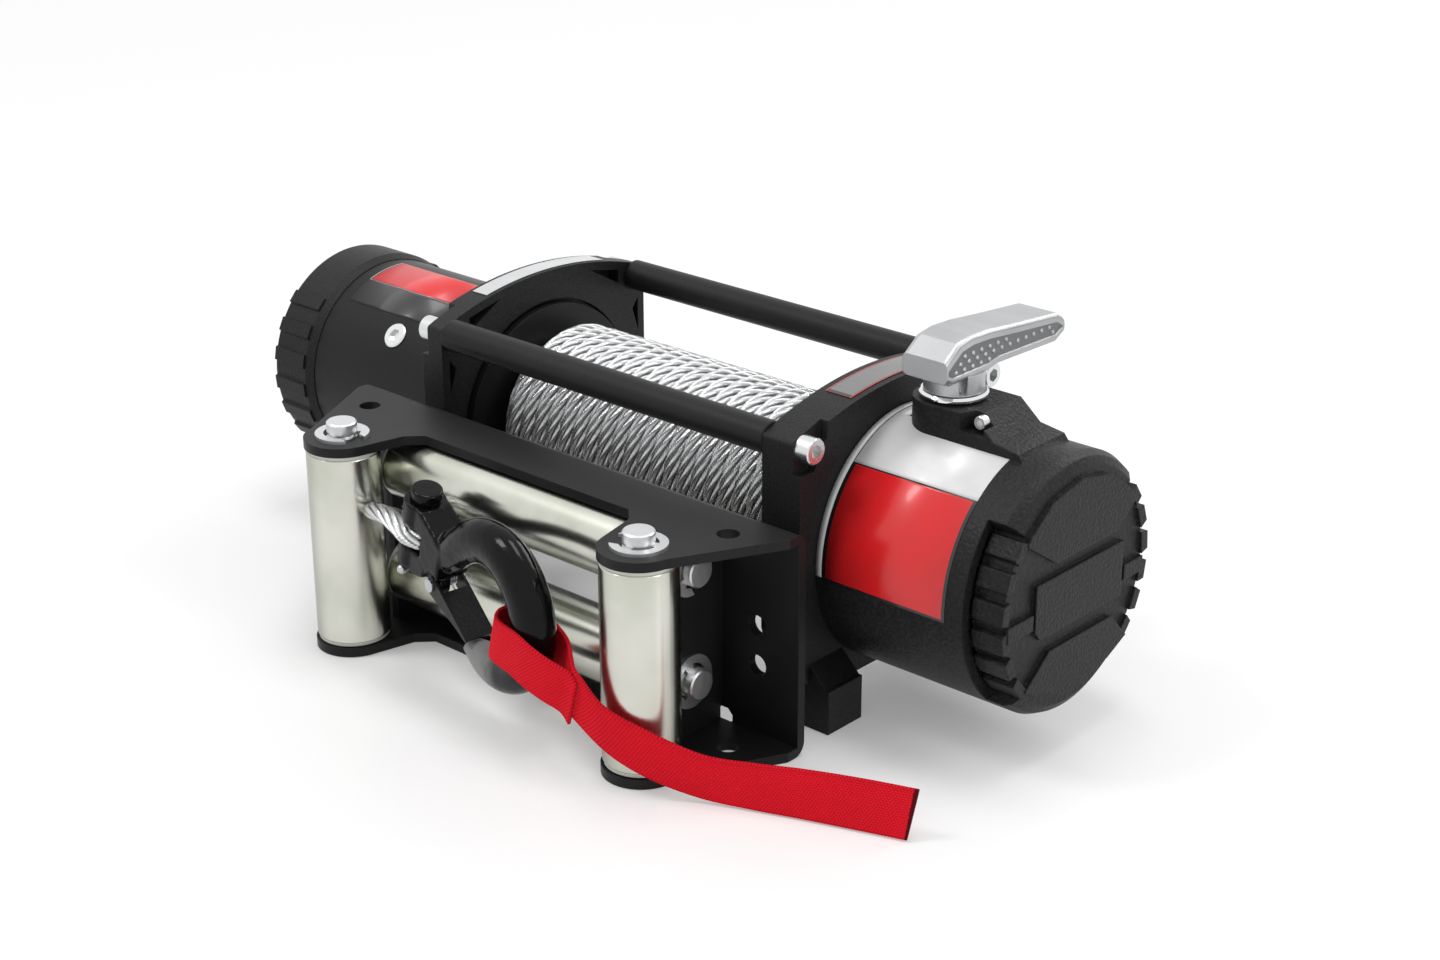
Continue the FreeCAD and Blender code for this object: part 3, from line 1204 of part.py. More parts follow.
def plan(sketch):
    """The outline of a fairlead flange, with an ear round each upright roller pin."""
    half, back = "Sizes.fairlead_half_length", "Sizes.fairlead_back"
    ear_x, ear_y, ear = "Sizes.upright_half_spacing", "Sizes.upright_forward", "Sizes.ear_radius"
    waist = "-(Sizes.fairlead_back + 36)"
    points = [
        ("-" + half, "-" + back), ("-" + half, "-" + back + " - 12"),
        ("-" + ear_x + " - " + ear + " * cos(10)", "-" + ear_y + " - " + ear + " * sin(10)"),
        ("-" + ear_x + " + " + ear + " * cos(10)", "-" + ear_y + " - " + ear + " * sin(10)"),
        ("-" + ear_x + " + " + ear + " + 5", waist + " - 8"),
        ("-" + ear_x + " + " + ear + " + 13", waist),
        (ear_x + " - " + ear + " - 13", waist),
        (ear_x + " - " + ear + " - 5", waist + " - 8"),
        (ear_x + " - " + ear + " * cos(10)", "-" + ear_y + " - " + ear + " * sin(10)"),
        (ear_x + " + " + ear + " * cos(10)", "-" + ear_y + " - " + ear + " * sin(10)"),
        (half, "-" + back + " - 12"), (half, "-" + back)]
    return outline(sketch, points, {2: (ear, 1), 8: (ear, 1)})


def fairlead_bracket():
    """The bent steel channel: two flanges with ears, the back plate with its window, two tabs."""
    label = "fairlead_bracket"
    body = new_body(label)
    tall, steel, half = "Sizes.fairlead_height", "Sizes.steel", "Sizes.fairlead_half_length"
    back, tab = "Sizes.fairlead_back", "Sizes.tab_inside"
    pad(body, plan(new_sketch(body, label + "Lower", "XY_Plane")), steel)
    plate = new_sketch(body, label + "Back", "XZ_Plane", back)
    outline(plate, [("-" + half, "0"), (half, "0"), (half, tall), ("-" + half, tall)])
    pad(body, plate, steel)
    pad(body, plan(new_sketch(body, label + "Upper", "XY_Plane", tall + " - " + steel)), steel)
    rounded(body, "7", lambda edge: runs_along(edge, Vector(1, 0, 0), 200)
            and edge.CenterOfMass.y > -val(back) - 1)
    tabs = new_sketch(body, label + "Tabs", "XY_Plane", steel)
    for sign in ("-", ""):
        outline(tabs, [
            (sign + tab, "-" + back + " - 2"), (sign + "(" + tab + " + " + steel + ")", "-" + back + " - 2"),
            (sign + "(" + tab + " + " + steel + ")", "-Sizes.level_forward - 9.6"),
            (sign + tab, "-Sizes.level_forward - 9.6")])
    pad(body, tabs, tall + " - 2 * " + steel)
    window = new_sketch(body, label + "Window", "XZ_Plane", back + " - 1")
    margin = "Sizes.window_margin"
    outline(window, [("-" + tab, margin), (tab, margin), (tab, tall + " - " + margin),
                     ("-" + tab, tall + " - " + margin)])
    pocket(body, window, steel + " + 2", reverse=True)
    bolts = new_sketch(body, label + "BoltHoles", "XZ_Plane", back + " - 1")
    for sign in ("-", ""):
        for height in ("Sizes.fairlead_holes_low", "Sizes.fairlead_holes_high"):
            circle(bolts, sign + "Sizes.fairlead_holes / 2", height, "Sizes.fairlead_hole_radius")
    outline(bolts, [("92", "2"), ("108", "2"), ("111", "5"), ("111", "8"), ("108", "11"), ("92", "11")])
    pocket(body, bolts, steel + " + 2", reverse=True)
    flange_holes = new_sketch(body, label + "FlangeHoles", "XY_Plane", tall + " + 1")
    for sign in ("-", ""):
        circle(flange_holes, sign + "Sizes.fairlead_holes / 2", "-" + back + " - Sizes.flange_hole_forward",
               "Sizes.fairlead_hole_radius")
        circle(flange_holes, sign + "Sizes.upright_half_spacing", "-Sizes.upright_forward",
               "Sizes.roller_pin_radius + 0.1")
    pocket(body, flange_holes)
    pins = new_sketch(body, label + "PinHoles", "YZ_Plane", "-" + tab + " - 20")
    for sign in ("-", "+"):
        circle(pins, "-Sizes.level_forward", "Sizes.level_middle " + sign + " Sizes.level_half_spacing",
               "Sizes.roller_pin_radius + 0.1")
    pocket(body, pins, "2 * " + tab + " + 40", reverse=True)
    return body


fairlead_bracket()

UPRIGHT_START, UPRIGHT_END = "(Sizes.steel + Sizes.roller_side_gap)", \
    "(Sizes.fairlead_height - Sizes.steel - Sizes.roller_side_gap)"
LEVEL_END = "Sizes.level_roller_half_length"
ROLLERS = [
    ("left_upright_roller", "Z", "-Sizes.upright_half_spacing", "-Sizes.upright_forward", "0",
     "Sizes.upright_roller_radius", UPRIGHT_START, UPRIGHT_END),
    ("right_upright_roller", "Z", "Sizes.upright_half_spacing", "-Sizes.upright_forward", "0",
     "Sizes.upright_roller_radius", UPRIGHT_START, UPRIGHT_END),
    ("upper_level_roller", "X", "0", "-Sizes.level_forward",
     "Sizes.level_middle + Sizes.level_half_spacing", "Sizes.level_roller_radius",
     "-" + LEVEL_END, LEVEL_END),
    ("lower_level_roller", "X", "0", "-Sizes.level_forward",
     "Sizes.level_middle - Sizes.level_half_spacing", "Sizes.level_roller_radius",
     "-" + LEVEL_END, LEVEL_END)]


def roller(label, axis, x, y, z, radius, start, end):
    """A steel roller tube with a flanged bushing in each end, as three separate solids."""
    outer, inside = val(radius), val(radius + " - Sizes.roller_wall")
    collar, depth = val("Sizes.bushing_collar"), 14.0
    direction = Vector(1, 0, 0) if axis == "X" else Vector(0, 0, 1)
    middle = Vector(val(x), val(y), val(z))
    first, last = val(start), val(end)
    base = middle + direction * (first + collar)
    length = last - first - 2 * collar
    tube = Part.makeCylinder(outer, length, base, direction)
    tube = tube.makeFillet(0.8, [edge for edge in tube.Edges if isinstance(edge.Curve, Part.Circle)])
    solids = [tube.cut(Part.makeCylinder(inside, length, base, direction))]
    for place, inward in ((first, 1), (last, -1)):
        seat, way = middle + direction * place, direction * inward
        bush = Part.makeCylinder(inside - 0.02, depth, seat, way)
        bush = bush.fuse(Part.makeCylinder(outer - 0.8, collar, seat, way))
        pin = Part.makeCylinder(val("Sizes.roller_pin_radius + Sizes.journal_gap"), depth + 2,
                                seat - way, way)
        solids.append(bush.cut(pin))
    set_shape(label, Part.makeCompound(solids))


for entry in ROLLERS:
    roller(*entry)


def roller_pins():
    """Four roller pins with a groove for the clip near one end."""
    pins, clips = [], []
    head = val("Sizes.pin_head_length")
    steel, tall = val("Sizes.steel"), val("Sizes.fairlead_height")
    for sign in (-1, 1):
        base = Vector(sign * val("Sizes.upright_half_spacing"), -val("Sizes.upright_forward"), 0.3)
        pins.append(grooved_pin(base, Vector(0, 0, 1), tall - 0.3 + head, tall - 0.3))
        clips.append(clip(base + Vector(0, 0, tall - 0.3), Vector(0, 0, 1), 20 + 150 * (sign < 0)))
        height = val("Sizes.level_middle") + sign * val("Sizes.level_half_spacing")
        reach = val("Sizes.tab_inside") + steel
        base = Vector(-reach - 4, -val("Sizes.level_forward"), height)
        pins.append(grooved_pin(base, Vector(1, 0, 0), 2 * reach + 4 + head, 2 * reach + 4))
        clips.append(clip(base + Vector(2 * reach + 4, 0, 0), Vector(1, 0, 0), 150 + 60 * sign))
    set_shape("roller_pins", Part.makeCompound(pins))
    set_shape("retaining_clips", Part.makeCompound(clips))


def grooved_pin(base, way, length, groove):
    """A round pin with chamfered ends and a groove that starts at this distance."""
    radius = val("Sizes.roller_pin_radius")
    pin = Part.makeCylinder(radius, length, base, way)
    rims = [edge for edge in pin.Edges if isinstance(edge.Curve, Part.Circle)]
    pin = pin.makeChamfer(0.7, rims)
    gap = val("Sizes.clip_thickness") + 0.1
    ring = Part.makeCylinder(radius + 1, gap, base + way * groove, way)
    ring = ring.cut(Part.makeCylinder(radius - 1.6, gap, base + way * groove, way))
    return pin.cut(ring)


def clip(base, way, opening):
    """An open retaining clip with three inward teeth that sits in a pin's groove."""
    thick, outer = val("Sizes.clip_thickness"), val("Sizes.clip_radius")
    grip = val("Sizes.roller_pin_radius") - 1.55
    ring = Part.makeCylinder(outer, thick).cut(Part.makeCylinder(outer - 4.4, thick))
    for angle in (0, 105, -105):
        tooth = Part.makeBox(outer - grip - 1, 5.0, thick, Vector(grip - 0.4, -2.5, 0))
        tooth.rotate(Vector(0, 0, 0), Vector(0, 0, 1), angle)
        ring = ring.fuse(tooth)
    ring = ring.cut(Part.makeCylinder(grip, thick))
    mouth = Part.makeBox(2 * outer, 11, thick, Vector(-2 * outer, -5.5, 0))
    ring = ring.cut(mouth)
    ring.rotate(Vector(0, 0, 0), Vector(0, 0, 1), opening)
    ring.Placement = Placement(base, Rotation(Vector(0, 0, 1), way)).multiply(ring.Placement)
    return ring


roller_pins()


# Hook: clevis, body, pin, latch, spring and strap

def ellipse_wire(centre, way, wide_way, half_wide, half_thick):
    """An ellipse square to way, with its width along wide_way."""
    across = unit(wide_way - way * wide_way.dot(way))
    other = unit(way.cross(across))
    if half_wide >= half_thick:
        curve = Part.Ellipse(centre + across * half_wide, centre + other * half_thick, centre)
    else:
        curve = Part.Ellipse(centre + other * half_thick, centre + across * half_wide, centre)
    return Part.Wire([curve.toShape()])


def hook_line():
    """Middle line of the hook: along, above, half width in its plane and half thickness."""
    radius, stock = val("Sizes.bowl_radius"), val("Sizes.hook_stock") / 2
    middle = val("Sizes.hook_reach")
    line = [(18.0, 0.0, stock, stock * 0.9), (27.0, 4.0, stock, stock * 0.92),
            (0.55 * middle, 0.52 * radius, stock * 1.1, stock)]
    for degrees, wide, thick in ((114, 1.22, 1.0), (81, 1.28, 1.05), (50, 1.3, 1.08), (20, 1.3, 1.08),
                                 (-8, 1.25, 1.08), (-36, 1.2, 1.05), (-62, 1.1, 1.0), (-84, 0.95, 0.9)):
        angle = math.radians(degrees)
        line.append((middle + radius * math.cos(angle), radius * math.sin(angle),
                     stock * wide, stock * thick))
    line.append((middle - 7, -radius - 1.0, stock * 0.7, stock * 0.7))
    line.append((middle - 15, -radius - 3.0, stock * 0.34, stock * 0.45))
    return line


LATCH_PIVOT = (25.0, -15.0)
LATCH_TIP = (58.0, -29.5)
SHEET = val("Sizes.latch_sheet")
LATCH_HALF = val("Sizes.latch_width") / 2
LATCH_INSIDE = LATCH_HALF - SHEET
LUG_RADIUS = 6.2
LUG_FACE = -0.4


def across_hook(radius, pivot, start, end):
    """A round bar across the hook, between two distances beside its middle plane."""
    return Part.makeCylinder(radius, end - start, on_hook(pivot[0], pivot[1], start), SIDE_WAY)


def hook_shape():
    """The forged hook: a clevis with a pin hole, the bowl, and the lug for the latch."""
    line = hook_line()
    points = [on_hook(along, above) for along, above, _, _ in line]
    wires = []
    for number, (_, _, wide, thick) in enumerate(line):
        before = points[max(number - 1, 0)]
        after = points[min(number + 1, len(points) - 1)]
        way = unit(after - before) if 0 < number else LOAD_WAY
        wires.append(ellipse_wire(points[number], way, SIDE_WAY.cross(way), wide, thick))
    body = Part.makeLoft(wires, True, False)
    inside, ear = val("Sizes.clevis_inside"), val("Sizes.clevis_ear")
    turn = Rotation(LOAD_WAY, SIDE_WAY, PIN_WAY, "XYZ")
    height = inside + 2 * ear
    block = Part.makeCylinder(11.0, height, Vector(0, 0, -height / 2))
    half, half_wide = height / 2, 9.5
    corners = [(0, -half), (9, -half), (24, -13.5), (30, -9.5), (30, 9.5), (24, 13.5), (9, half),
               (0, half), (0, -half)]
    arms = Part.Face(Part.makePolygon([Vector(along, -half_wide, above) for along, above in corners]))
    arms = arms.extrude(Vector(0, 2 * half_wide, 0))
    eye_room = val("Sizes.clevis_pin_radius + Sizes.rope_diameter") + 0.8
    gap = Part.makeCylinder(eye_room, inside, Vector(0, 0, -inside / 2)).fuse(
        Part.makeBox(40, 40, inside, Vector(-38, -20, -inside / 2)))
    fork = block.fuse(arms).cut(gap)
    fork.Placement = Placement(HOOK_PIN, turn)
    whole = body.fuse(fork).fuse(across_hook(LUG_RADIUS, LATCH_PIVOT, -LATCH_INSIDE, LATCH_INSIDE))
    hole = Part.makeCylinder(val("Sizes.clevis_pin_radius + Sizes.journal_gap"), height + 20,
                             on_hook(0, -height / 2 - 10), PIN_WAY)
    rivet_hole = across_hook(val("Sizes.rivet_radius + Sizes.journal_gap"), LATCH_PIVOT, -30, 30)
    near_room = across_hook(LUG_RADIUS + 1, LATCH_PIVOT, -30, 0.5 - LATCH_INSIDE)
    far_room = across_hook(LUG_RADIUS + 1, LATCH_PIVOT, LUG_FACE, 30)
    return whole.cut(hole).cut(near_room).cut(far_room).cut(rivet_hole).removeSplitter()


def clevis_pin():
    """The headed pin through the clevis, and the split pin that keeps it in."""
    height = val("Sizes.clevis_inside + 2 * Sizes.clevis_ear")
    radius, head_length = val("Sizes.clevis_pin_radius"), val("Sizes.pin_head")
    pin = Part.makeCylinder(radius, height + 6.5, on_hook(0, -height / 2 - 6), PIN_WAY)
    head = Part.makeCylinder(radius + 2.6, head_length, on_hook(0, height / 2 + 0.4), PIN_WAY)
    rim = [edge for edge in head.Edges if isinstance(edge.Curve, Part.Circle)
           and (edge.Curve.Center - on_hook(0, height / 2 + 0.4 + head_length)).Length < 0.01]
    pin = pin.fuse(head.makeFillet(1.4, rim))
    cotter_height = -height / 2 - 3.2
    hole = Part.makeCylinder(1.7, 30, on_hook(0, cotter_height, -15), SIDE_WAY)
    set_shape("clevis_pin", pin.cut(hole))
    reach = radius + 4
    cotter = Part.makeCylinder(1.6, 2 * reach, on_hook(0, cotter_height, -reach), SIDE_WAY)
    set_shape("split_pin", cotter.fuse(Part.makeSphere(2.6, on_hook(0, cotter_height, -reach))))


def latch_parts():
    """The folded sheet steel latch, its rivet and the spring on the rivet."""
    pivot = on_hook(*LATCH_PIVOT)
    along = unit(on_hook(*LATCH_TIP) - pivot)
    turn = Rotation(along, SIDE_WAY, unit(SIDE_WAY.cross(along) * -1), "XYZ")
    length = (on_hook(*LATCH_TIP) - pivot).Length
    place = Placement(pivot, turn)
    web_low = 3.2
    latch = Part.makeBox(length - 8, 2 * LATCH_HALF, SHEET, Vector(8, -LATCH_HALF, web_low))
    for y in (-LATCH_HALF, LATCH_INSIDE):
        cheek = Part.Face(Part.makePolygon([
            Vector(-4, y, -4), Vector(3, y, -5), Vector(length - 8, y, 1.8), Vector(length, y, web_low),
            Vector(length, y, web_low + SHEET), Vector(6, y, web_low + SHEET), Vector(-3, y, 4),
            Vector(-4, y, -4)])).extrude(Vector(0, SHEET, 0))
        latch = latch.fuse(cheek)
    rivet_radius = val("Sizes.rivet_radius")
    bore = Part.makeCylinder(rivet_radius + 0.1, 40, Vector(0, -20, 0), Vector(0, 1, 0))
    set_shape("hook_latch", latch.cut(bore).removeSplitter(), place)
    rivet = Part.makeCylinder(rivet_radius, 2 * LATCH_HALF + 1.2, Vector(0, -LATCH_HALF - 0.6, 0),
                              Vector(0, 1, 0))
    for side in (-1, 1):
        head = Part.makeCylinder(3.4, 1.2, Vector(0, side * (LATCH_HALF + 0.3), 0), Vector(0, side, 0))
        rivet = rivet.fuse(head)
    set_shape("latch_rivet", rivet, place)
    set_shape("latch_spring", latch_spring(), place)


def latch_spring():
    """A small torsion spring round the rivet: one leg under the latch, the other on the hook."""
    quarter_turns, wire, coil, leg = 13, 0.5, 2.6, 12.0
    step = 2 * wire + 0.45
    middle = (LUG_FACE + LATCH_INSIDE) / 2
    places = []
    for number in range(quarter_turns + 1):
        angle = math.pi / 2 * (number + 1)
        y = middle + step * (number / 4 - quarter_turns / 8)
        point = Vector(coil * math.cos(angle), y, coil * math.sin(angle))
        way = unit(Vector(-coil * math.sin(angle), step / (2 * math.pi), coil * math.cos(angle)))
        places.append((point, way))
    first, first_way = places[0]
    last, last_way = places[-1]
    edges = [Part.LineSegment(first - first_way * leg, first).toShape()]
    for (start, start_way), (end, end_way) in zip(places, places[1:]):
        edges.extend(biarc(start, start_way, end, end_way))
    edges.append(Part.LineSegment(last, last + last_way * 4.5).toShape())
    points = [point for edge in edges[1:-1] for point in edge.discretize(9)[:-1]]
    print("latch spring: %.2f turns, least gap to itself %.2f mm"
          % (quarter_turns / 4, least_gap(points, 40, 2 * wire)))
    return tube_along(edges, wire)


def strap_edge(along, top, beside):
    """The two edges of the strap at one place of its loop, square to the hook's load line."""
    return on_hook(along, top - val("Sizes.strap_width"), beside), on_hook(along, top, beside)


# Lower and upper edge of the strap's loop round the bowl: the side towards the viewer, then
# the side towards the drum, both from inside the throat
NEAR_SIDE = [strap_edge(*place) for place in (
    (77, 7.5, 0), (78.5, 8, -5.5), (83, 8.5, -10), (90, 10.5, -11.9), (102, 13, -11.9),
    (113, 13, -11), (123, 11, -7), (132, 8.5, -1.6), (139, 6.0, -1.15))]
FAR_SIDE = [strap_edge(*place) for place in (
    (77, 7.5, 0), (78.5, 8, 5.5), (83, 8, 10.8), (90, 8.5, 12.6), (101, 9, 12.9),
    (113, 9.5, 11), (124, 10, 5.5), (132, 10, 1.6), (139, 9, 1.15))]

# The tail: lower and upper edge from the seam to the free end
TAIL = [
    (Vector(107, -180, 19), Vector(104, -180, 43.5)),
    (Vector(126, -173, 10), Vector(123, -172, 34.6)),
    (Vector(147, -160, 2), Vector(148, -160, 25.5)),
    (Vector(170, -150, 0.4), Vector(170, -148, 24)),
    (Vector(193, -141, 0.3), Vector(191, -138, 24.6)),
    (Vector(218, -132, 0.3), Vector(217, -127, 24.8)),
    (Vector(241, -124, 0.3), Vector(242, -117, 24.3)),
]


def ribbon(stations, thickness):
    """A flat band through pairs of edge points, with its thickness centred on them."""
    wires = []
    for number, (low, high) in enumerate(stations):
        before = stations[max(number - 1, 0)][0]
        after = stations[min(number + 1, len(stations) - 1)][0]
        way = unit(after - before)
        rise = unit(high - low)
        across = unit(way.cross(rise)) * (thickness / 2)
        wires.append(Part.makePolygon([low - across, low + across, high + across, high - across,
                                       low - across]))
    return Part.makeLoft(wires, True, True)


def pull_strap():
    """The red pull strap: a sewn loop round the bowl of the hook, and a tail on its edge."""
    thickness = val("Sizes.strap_thickness")
    near = ribbon(NEAR_SIDE, thickness)
    far = ribbon(FAR_SIDE + TAIL, thickness)
    return near.fuse(far)


set_shape("hook_body", hook_shape())
clevis_pin()
latch_parts()
set_shape("pull_strap", pull_strap())


# Check and export

doc.recompute()


def pieces():
    """The bodies and shapes that make up the winch."""
    return [item for item in doc.Objects if item.TypeId in ("PartDesign::Body", "Part::Feature")]


def write_parts(folder):
    """Checks every object, then writes each piece to a file with its own name."""
    bad = [item.Name for item in doc.Objects if "Invalid" in item.State or "Error" in item.State]
    for item in pieces():
        if item.Shape.isNull() or not item.Shape.isValid() or not item.Shape.Solids:
            bad.append(item.Label)
    if bad:
        raise RuntimeError("not built: " + ", ".join(sorted(set(bad))))
    os.makedirs(folder, exist_ok=True)
    for item in pieces():
        item.Shape.exportStep(os.path.join(folder, item.Label + ".step"))
    print("%d pieces written" % len(pieces()))


write_parts("parts")
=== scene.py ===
"""Looks of an electric recovery winch with a roller fairlead, wire rope, hook and pull strap."""

import json
import logging
import math
from dataclasses import dataclass, field
from enum import Enum
from typing import Any, Callable, Iterable, Sequence

import bmesh
import bpy
from mathutils import Matrix, Vector

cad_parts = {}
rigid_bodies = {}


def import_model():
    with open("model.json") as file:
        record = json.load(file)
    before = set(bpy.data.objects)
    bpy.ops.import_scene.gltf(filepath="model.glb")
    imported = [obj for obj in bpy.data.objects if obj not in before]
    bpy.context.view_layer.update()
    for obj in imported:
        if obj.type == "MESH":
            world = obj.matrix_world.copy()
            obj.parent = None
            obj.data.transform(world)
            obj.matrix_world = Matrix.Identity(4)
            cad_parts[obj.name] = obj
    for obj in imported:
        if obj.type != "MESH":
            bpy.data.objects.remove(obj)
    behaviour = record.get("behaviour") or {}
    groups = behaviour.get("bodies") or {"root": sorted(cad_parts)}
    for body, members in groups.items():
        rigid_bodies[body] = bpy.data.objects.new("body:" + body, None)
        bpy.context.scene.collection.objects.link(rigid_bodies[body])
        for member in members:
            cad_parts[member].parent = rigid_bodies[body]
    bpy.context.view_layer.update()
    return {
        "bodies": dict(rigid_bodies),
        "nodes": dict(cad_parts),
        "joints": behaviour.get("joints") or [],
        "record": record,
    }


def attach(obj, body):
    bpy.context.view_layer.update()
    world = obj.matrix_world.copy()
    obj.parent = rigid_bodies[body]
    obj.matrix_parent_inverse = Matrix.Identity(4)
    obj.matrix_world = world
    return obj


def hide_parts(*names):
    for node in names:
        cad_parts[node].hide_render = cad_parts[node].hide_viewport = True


log = logging.getLogger("winch")

MM = 0.001
AXIS_HEIGHT = 85.0 * MM
MERGE_REACH = 0.002 * MM
SPIN_DEGREES = 1.5
Number = Any
Color = tuple[float, float, float]
WHITE: Color = (1.0, 1.0, 1.0)


# Shader wiring

def math_method(operation: str, swapped: bool = False) -> Callable[..., "Value"]:
    """A method of Value that adds one Math node.

    Args:
        operation: The node's operation, such as MULTIPLY.
        swapped: Whether the other number comes first.

    Returns:
        The method.
    """
    def method(self: "Value", *others: Number) -> "Value":
        """Adds the node."""
        node = self.wiring.tree.nodes.new("ShaderNodeMath")
        node.operation = operation
        operands = (*others, self) if swapped else (self, *others)
        for socket, operand in zip(node.inputs, operands):
            self.wiring.feed(socket, operand)
        return Value(self.wiring, node.outputs[0])
    return method


class Value:
    """A number that varies over a surface, with operators that add Math nodes."""

    __add__ = __radd__ = math_method("ADD")
    __sub__ = math_method("SUBTRACT")
    __rsub__ = math_method("SUBTRACT", swapped=True)
    __mul__ = __rmul__ = math_method("MULTIPLY")
    __truediv__ = math_method("DIVIDE")
    __gt__ = math_method("GREATER_THAN")
    __lt__ = math_method("LESS_THAN")
    __abs__ = math_method("ABSOLUTE")
    sine = math_method("SINE")
    fraction = math_method("FRACT")
    larger = math_method("MAXIMUM")

    def __init__(self, wiring: "Wiring", socket: bpy.types.NodeSocket) -> None:
        """Keeps the socket and the wiring it belongs to."""
        self.wiring = wiring
        self.socket = socket

    def ramp(self, low: float, high: float) -> "Value":
        """Rises from 0 at low to 1 at high, and stays between."""
        node = self.wiring.add("ShaderNodeMapRange", {"Value": self, "From Min": low, "From Max": high},
                               clamp=True, interpolation_type="SMOOTHSTEP")
        return Value(self.wiring, node.outputs[0])


class Wiring:
    """The node tree of one material or of the world."""

    def __init__(self, name: str, owner: bpy.types.ID | None = None) -> None:
        """Starts an empty tree in this owner, or in a new material with this name."""
        self.owner = owner or bpy.data.materials.new(name)
        self.owner.use_nodes = True
        self.tree = self.owner.node_tree
        self.tree.nodes.clear()

    def feed(self, socket: bpy.types.NodeSocket, source: Any) -> None:
        """Links a value or socket to an input, or writes a plain number or color there."""
        if isinstance(source, Value):
            source = source.socket
        if isinstance(source, bpy.types.NodeSocket):
            self.tree.links.new(source, socket)
        elif socket.type == "RGBA" and not isinstance(source, (int, float)):
            socket.default_value = (*source[:3], 1.0)
        else:
            socket.default_value = source

    def add(self, kind: str, sockets: dict[str, Any] | None = None, **settings: Any) -> bpy.types.Node:
        """Adds a node.

        Args:
            kind: The node's type name.
            sockets: What goes into its inputs, by name or identifier.
            settings: Its settings.

        Returns:
            The node.
        """
        node = self.tree.nodes.new(kind)
        for name, setting in settings.items():
            setattr(node, name, setting)
        by_name = {socket.name: socket for socket in reversed(node.inputs)}
        by_name.update({socket.identifier: socket for socket in node.inputs})
        for name, source in (sockets or {}).items():
            self.feed(by_name[name], source)
        return node

    def place(self) -> bpy.types.NodeSocket:
        """The place on the piece, in metres."""
        return self.add("ShaderNodeTexCoord").outputs["Object"]

    def split(self, vector: bpy.types.NodeSocket) -> tuple[Value, ...]:
        """The three parts of a vector."""
        parts = self.add("ShaderNodeSeparateXYZ", {"Vector": vector})
        return tuple(Value(self, part) for part in parts.outputs)

    def axes(self) -> tuple[Value, ...]:
        """The place on the piece as three values."""
        return self.split(self.place())

    def pattern(self) -> tuple[Value, ...]:
        """The piece's own pattern coordinates."""
        return self.split(self.add("ShaderNodeUVMap", uv_map="Pattern").outputs[0])[:2]

    def noise(self, scale: float, detail: float = 2.0, stretch: Sequence[float] = (1, 1, 1)) -> Value:
        """Soft noise.

        Args:
            scale: Features in a metre.
            detail: Finer layers.
            stretch: Scale along each axis.

        Returns:
            A value round one half.
        """
        mapping = self.add("ShaderNodeMapping", {"Vector": self.place(), "Scale": stretch})
        node = self.add("ShaderNodeTexNoise",
                        {"Vector": mapping.outputs[0], "Scale": scale, "Detail": detail})
        return Value(self, node.outputs["Fac"])

    def blend(self, amount: Number, first: Any, second: Any) -> bpy.types.NodeSocket:
        """Goes from the first color to the second as amount goes from 0 to 1."""
        node = self.add("ShaderNodeMix", {"Factor_Float": amount, "A_Color": first, "B_Color": second},
                        data_type="RGBA")
        return node.outputs["Result_Color"] if "Result_Color" in node.outputs else node.outputs[2]

    def mix(self, amount: Number, *shaders: Any) -> bpy.types.NodeSocket:
        """Goes from the first shader to the second as amount goes from 0 to 1."""
        node = self.add("ShaderNodeMixShader")
        for socket, source in zip(node.inputs, (amount, *shaders)):
            self.feed(socket, source)
        return node.outputs[0]

    def rounded(self, radius: float) -> bpy.types.NodeSocket:
        """The normal as if edges were rounded to this radius."""
        return self.add("ShaderNodeBevel", {"Radius": radius}, samples=4).outputs[0]

    def bump(self, height: Value, depth: float, strength: float = 1.0,
             normal: bpy.types.NodeSocket | None = None) -> bpy.types.NodeSocket:
        """A normal bent by a height.

        Args:
            height: A value from 0 to 1.
            depth: How high 1 is, in metres.
            strength: Share of the effect.
            normal: The normal that it starts from.

        Returns:
            The normal.
        """
        node = self.add("ShaderNodeBump", {"Strength": strength, "Distance": depth, "Height": height})
        if normal is not None:
            self.feed(node.inputs["Normal"], normal)
        return node.outputs[0]

    def finish(self, **sockets: Any) -> bpy.types.Material:
        """Ends the material in one Principled shader; names have _ for a space."""
        named = {name.replace("_", " "): source for name, source in sockets.items()}
        shader = self.add("ShaderNodeBsdfPrincipled", named)
        self.add("ShaderNodeOutputMaterial", {"Surface": shader.outputs[0]})
        return self.owner


# Finishes

def shaded(color: Color, share: float) -> Color:
    """A color times a share."""
    return tuple(part * share for part in color)


@dataclass(frozen=True)
class CastPaint:
    """Textured paint on cast or bent metal."""

    name: str
    color: Color = (0.008, 0.008, 0.0085)
    roughness: float = 0.42
    grain: float = 950.0
    depth: float = 0.00022
    edge: float = 0.0009
    gloss: float = 0.18

    def build(self) -> bpy.types.Material:
        """The material."""
        wiring = Wiring(self.name)
        grain = wiring.noise(self.grain, 3.0)
        cloud = wiring.noise(14.0, 2.0)
        dust = (cloud - 0.5) * 0.5 + (grain - 0.5) * 1.4
        lighter = tuple(part * 2.6 + 0.003 for part in self.color)
        color = wiring.blend((dust + 0.35).ramp(0.0, 1.0), self.color, lighter)
        return wiring.finish(Base_Color=color, Roughness=cloud * 0.16 + (self.roughness - 0.06),
                             Specular_IOR_Level=self.gloss,
                             Normal=wiring.bump(grain, self.depth, 0.9, wiring.rounded(self.edge)))


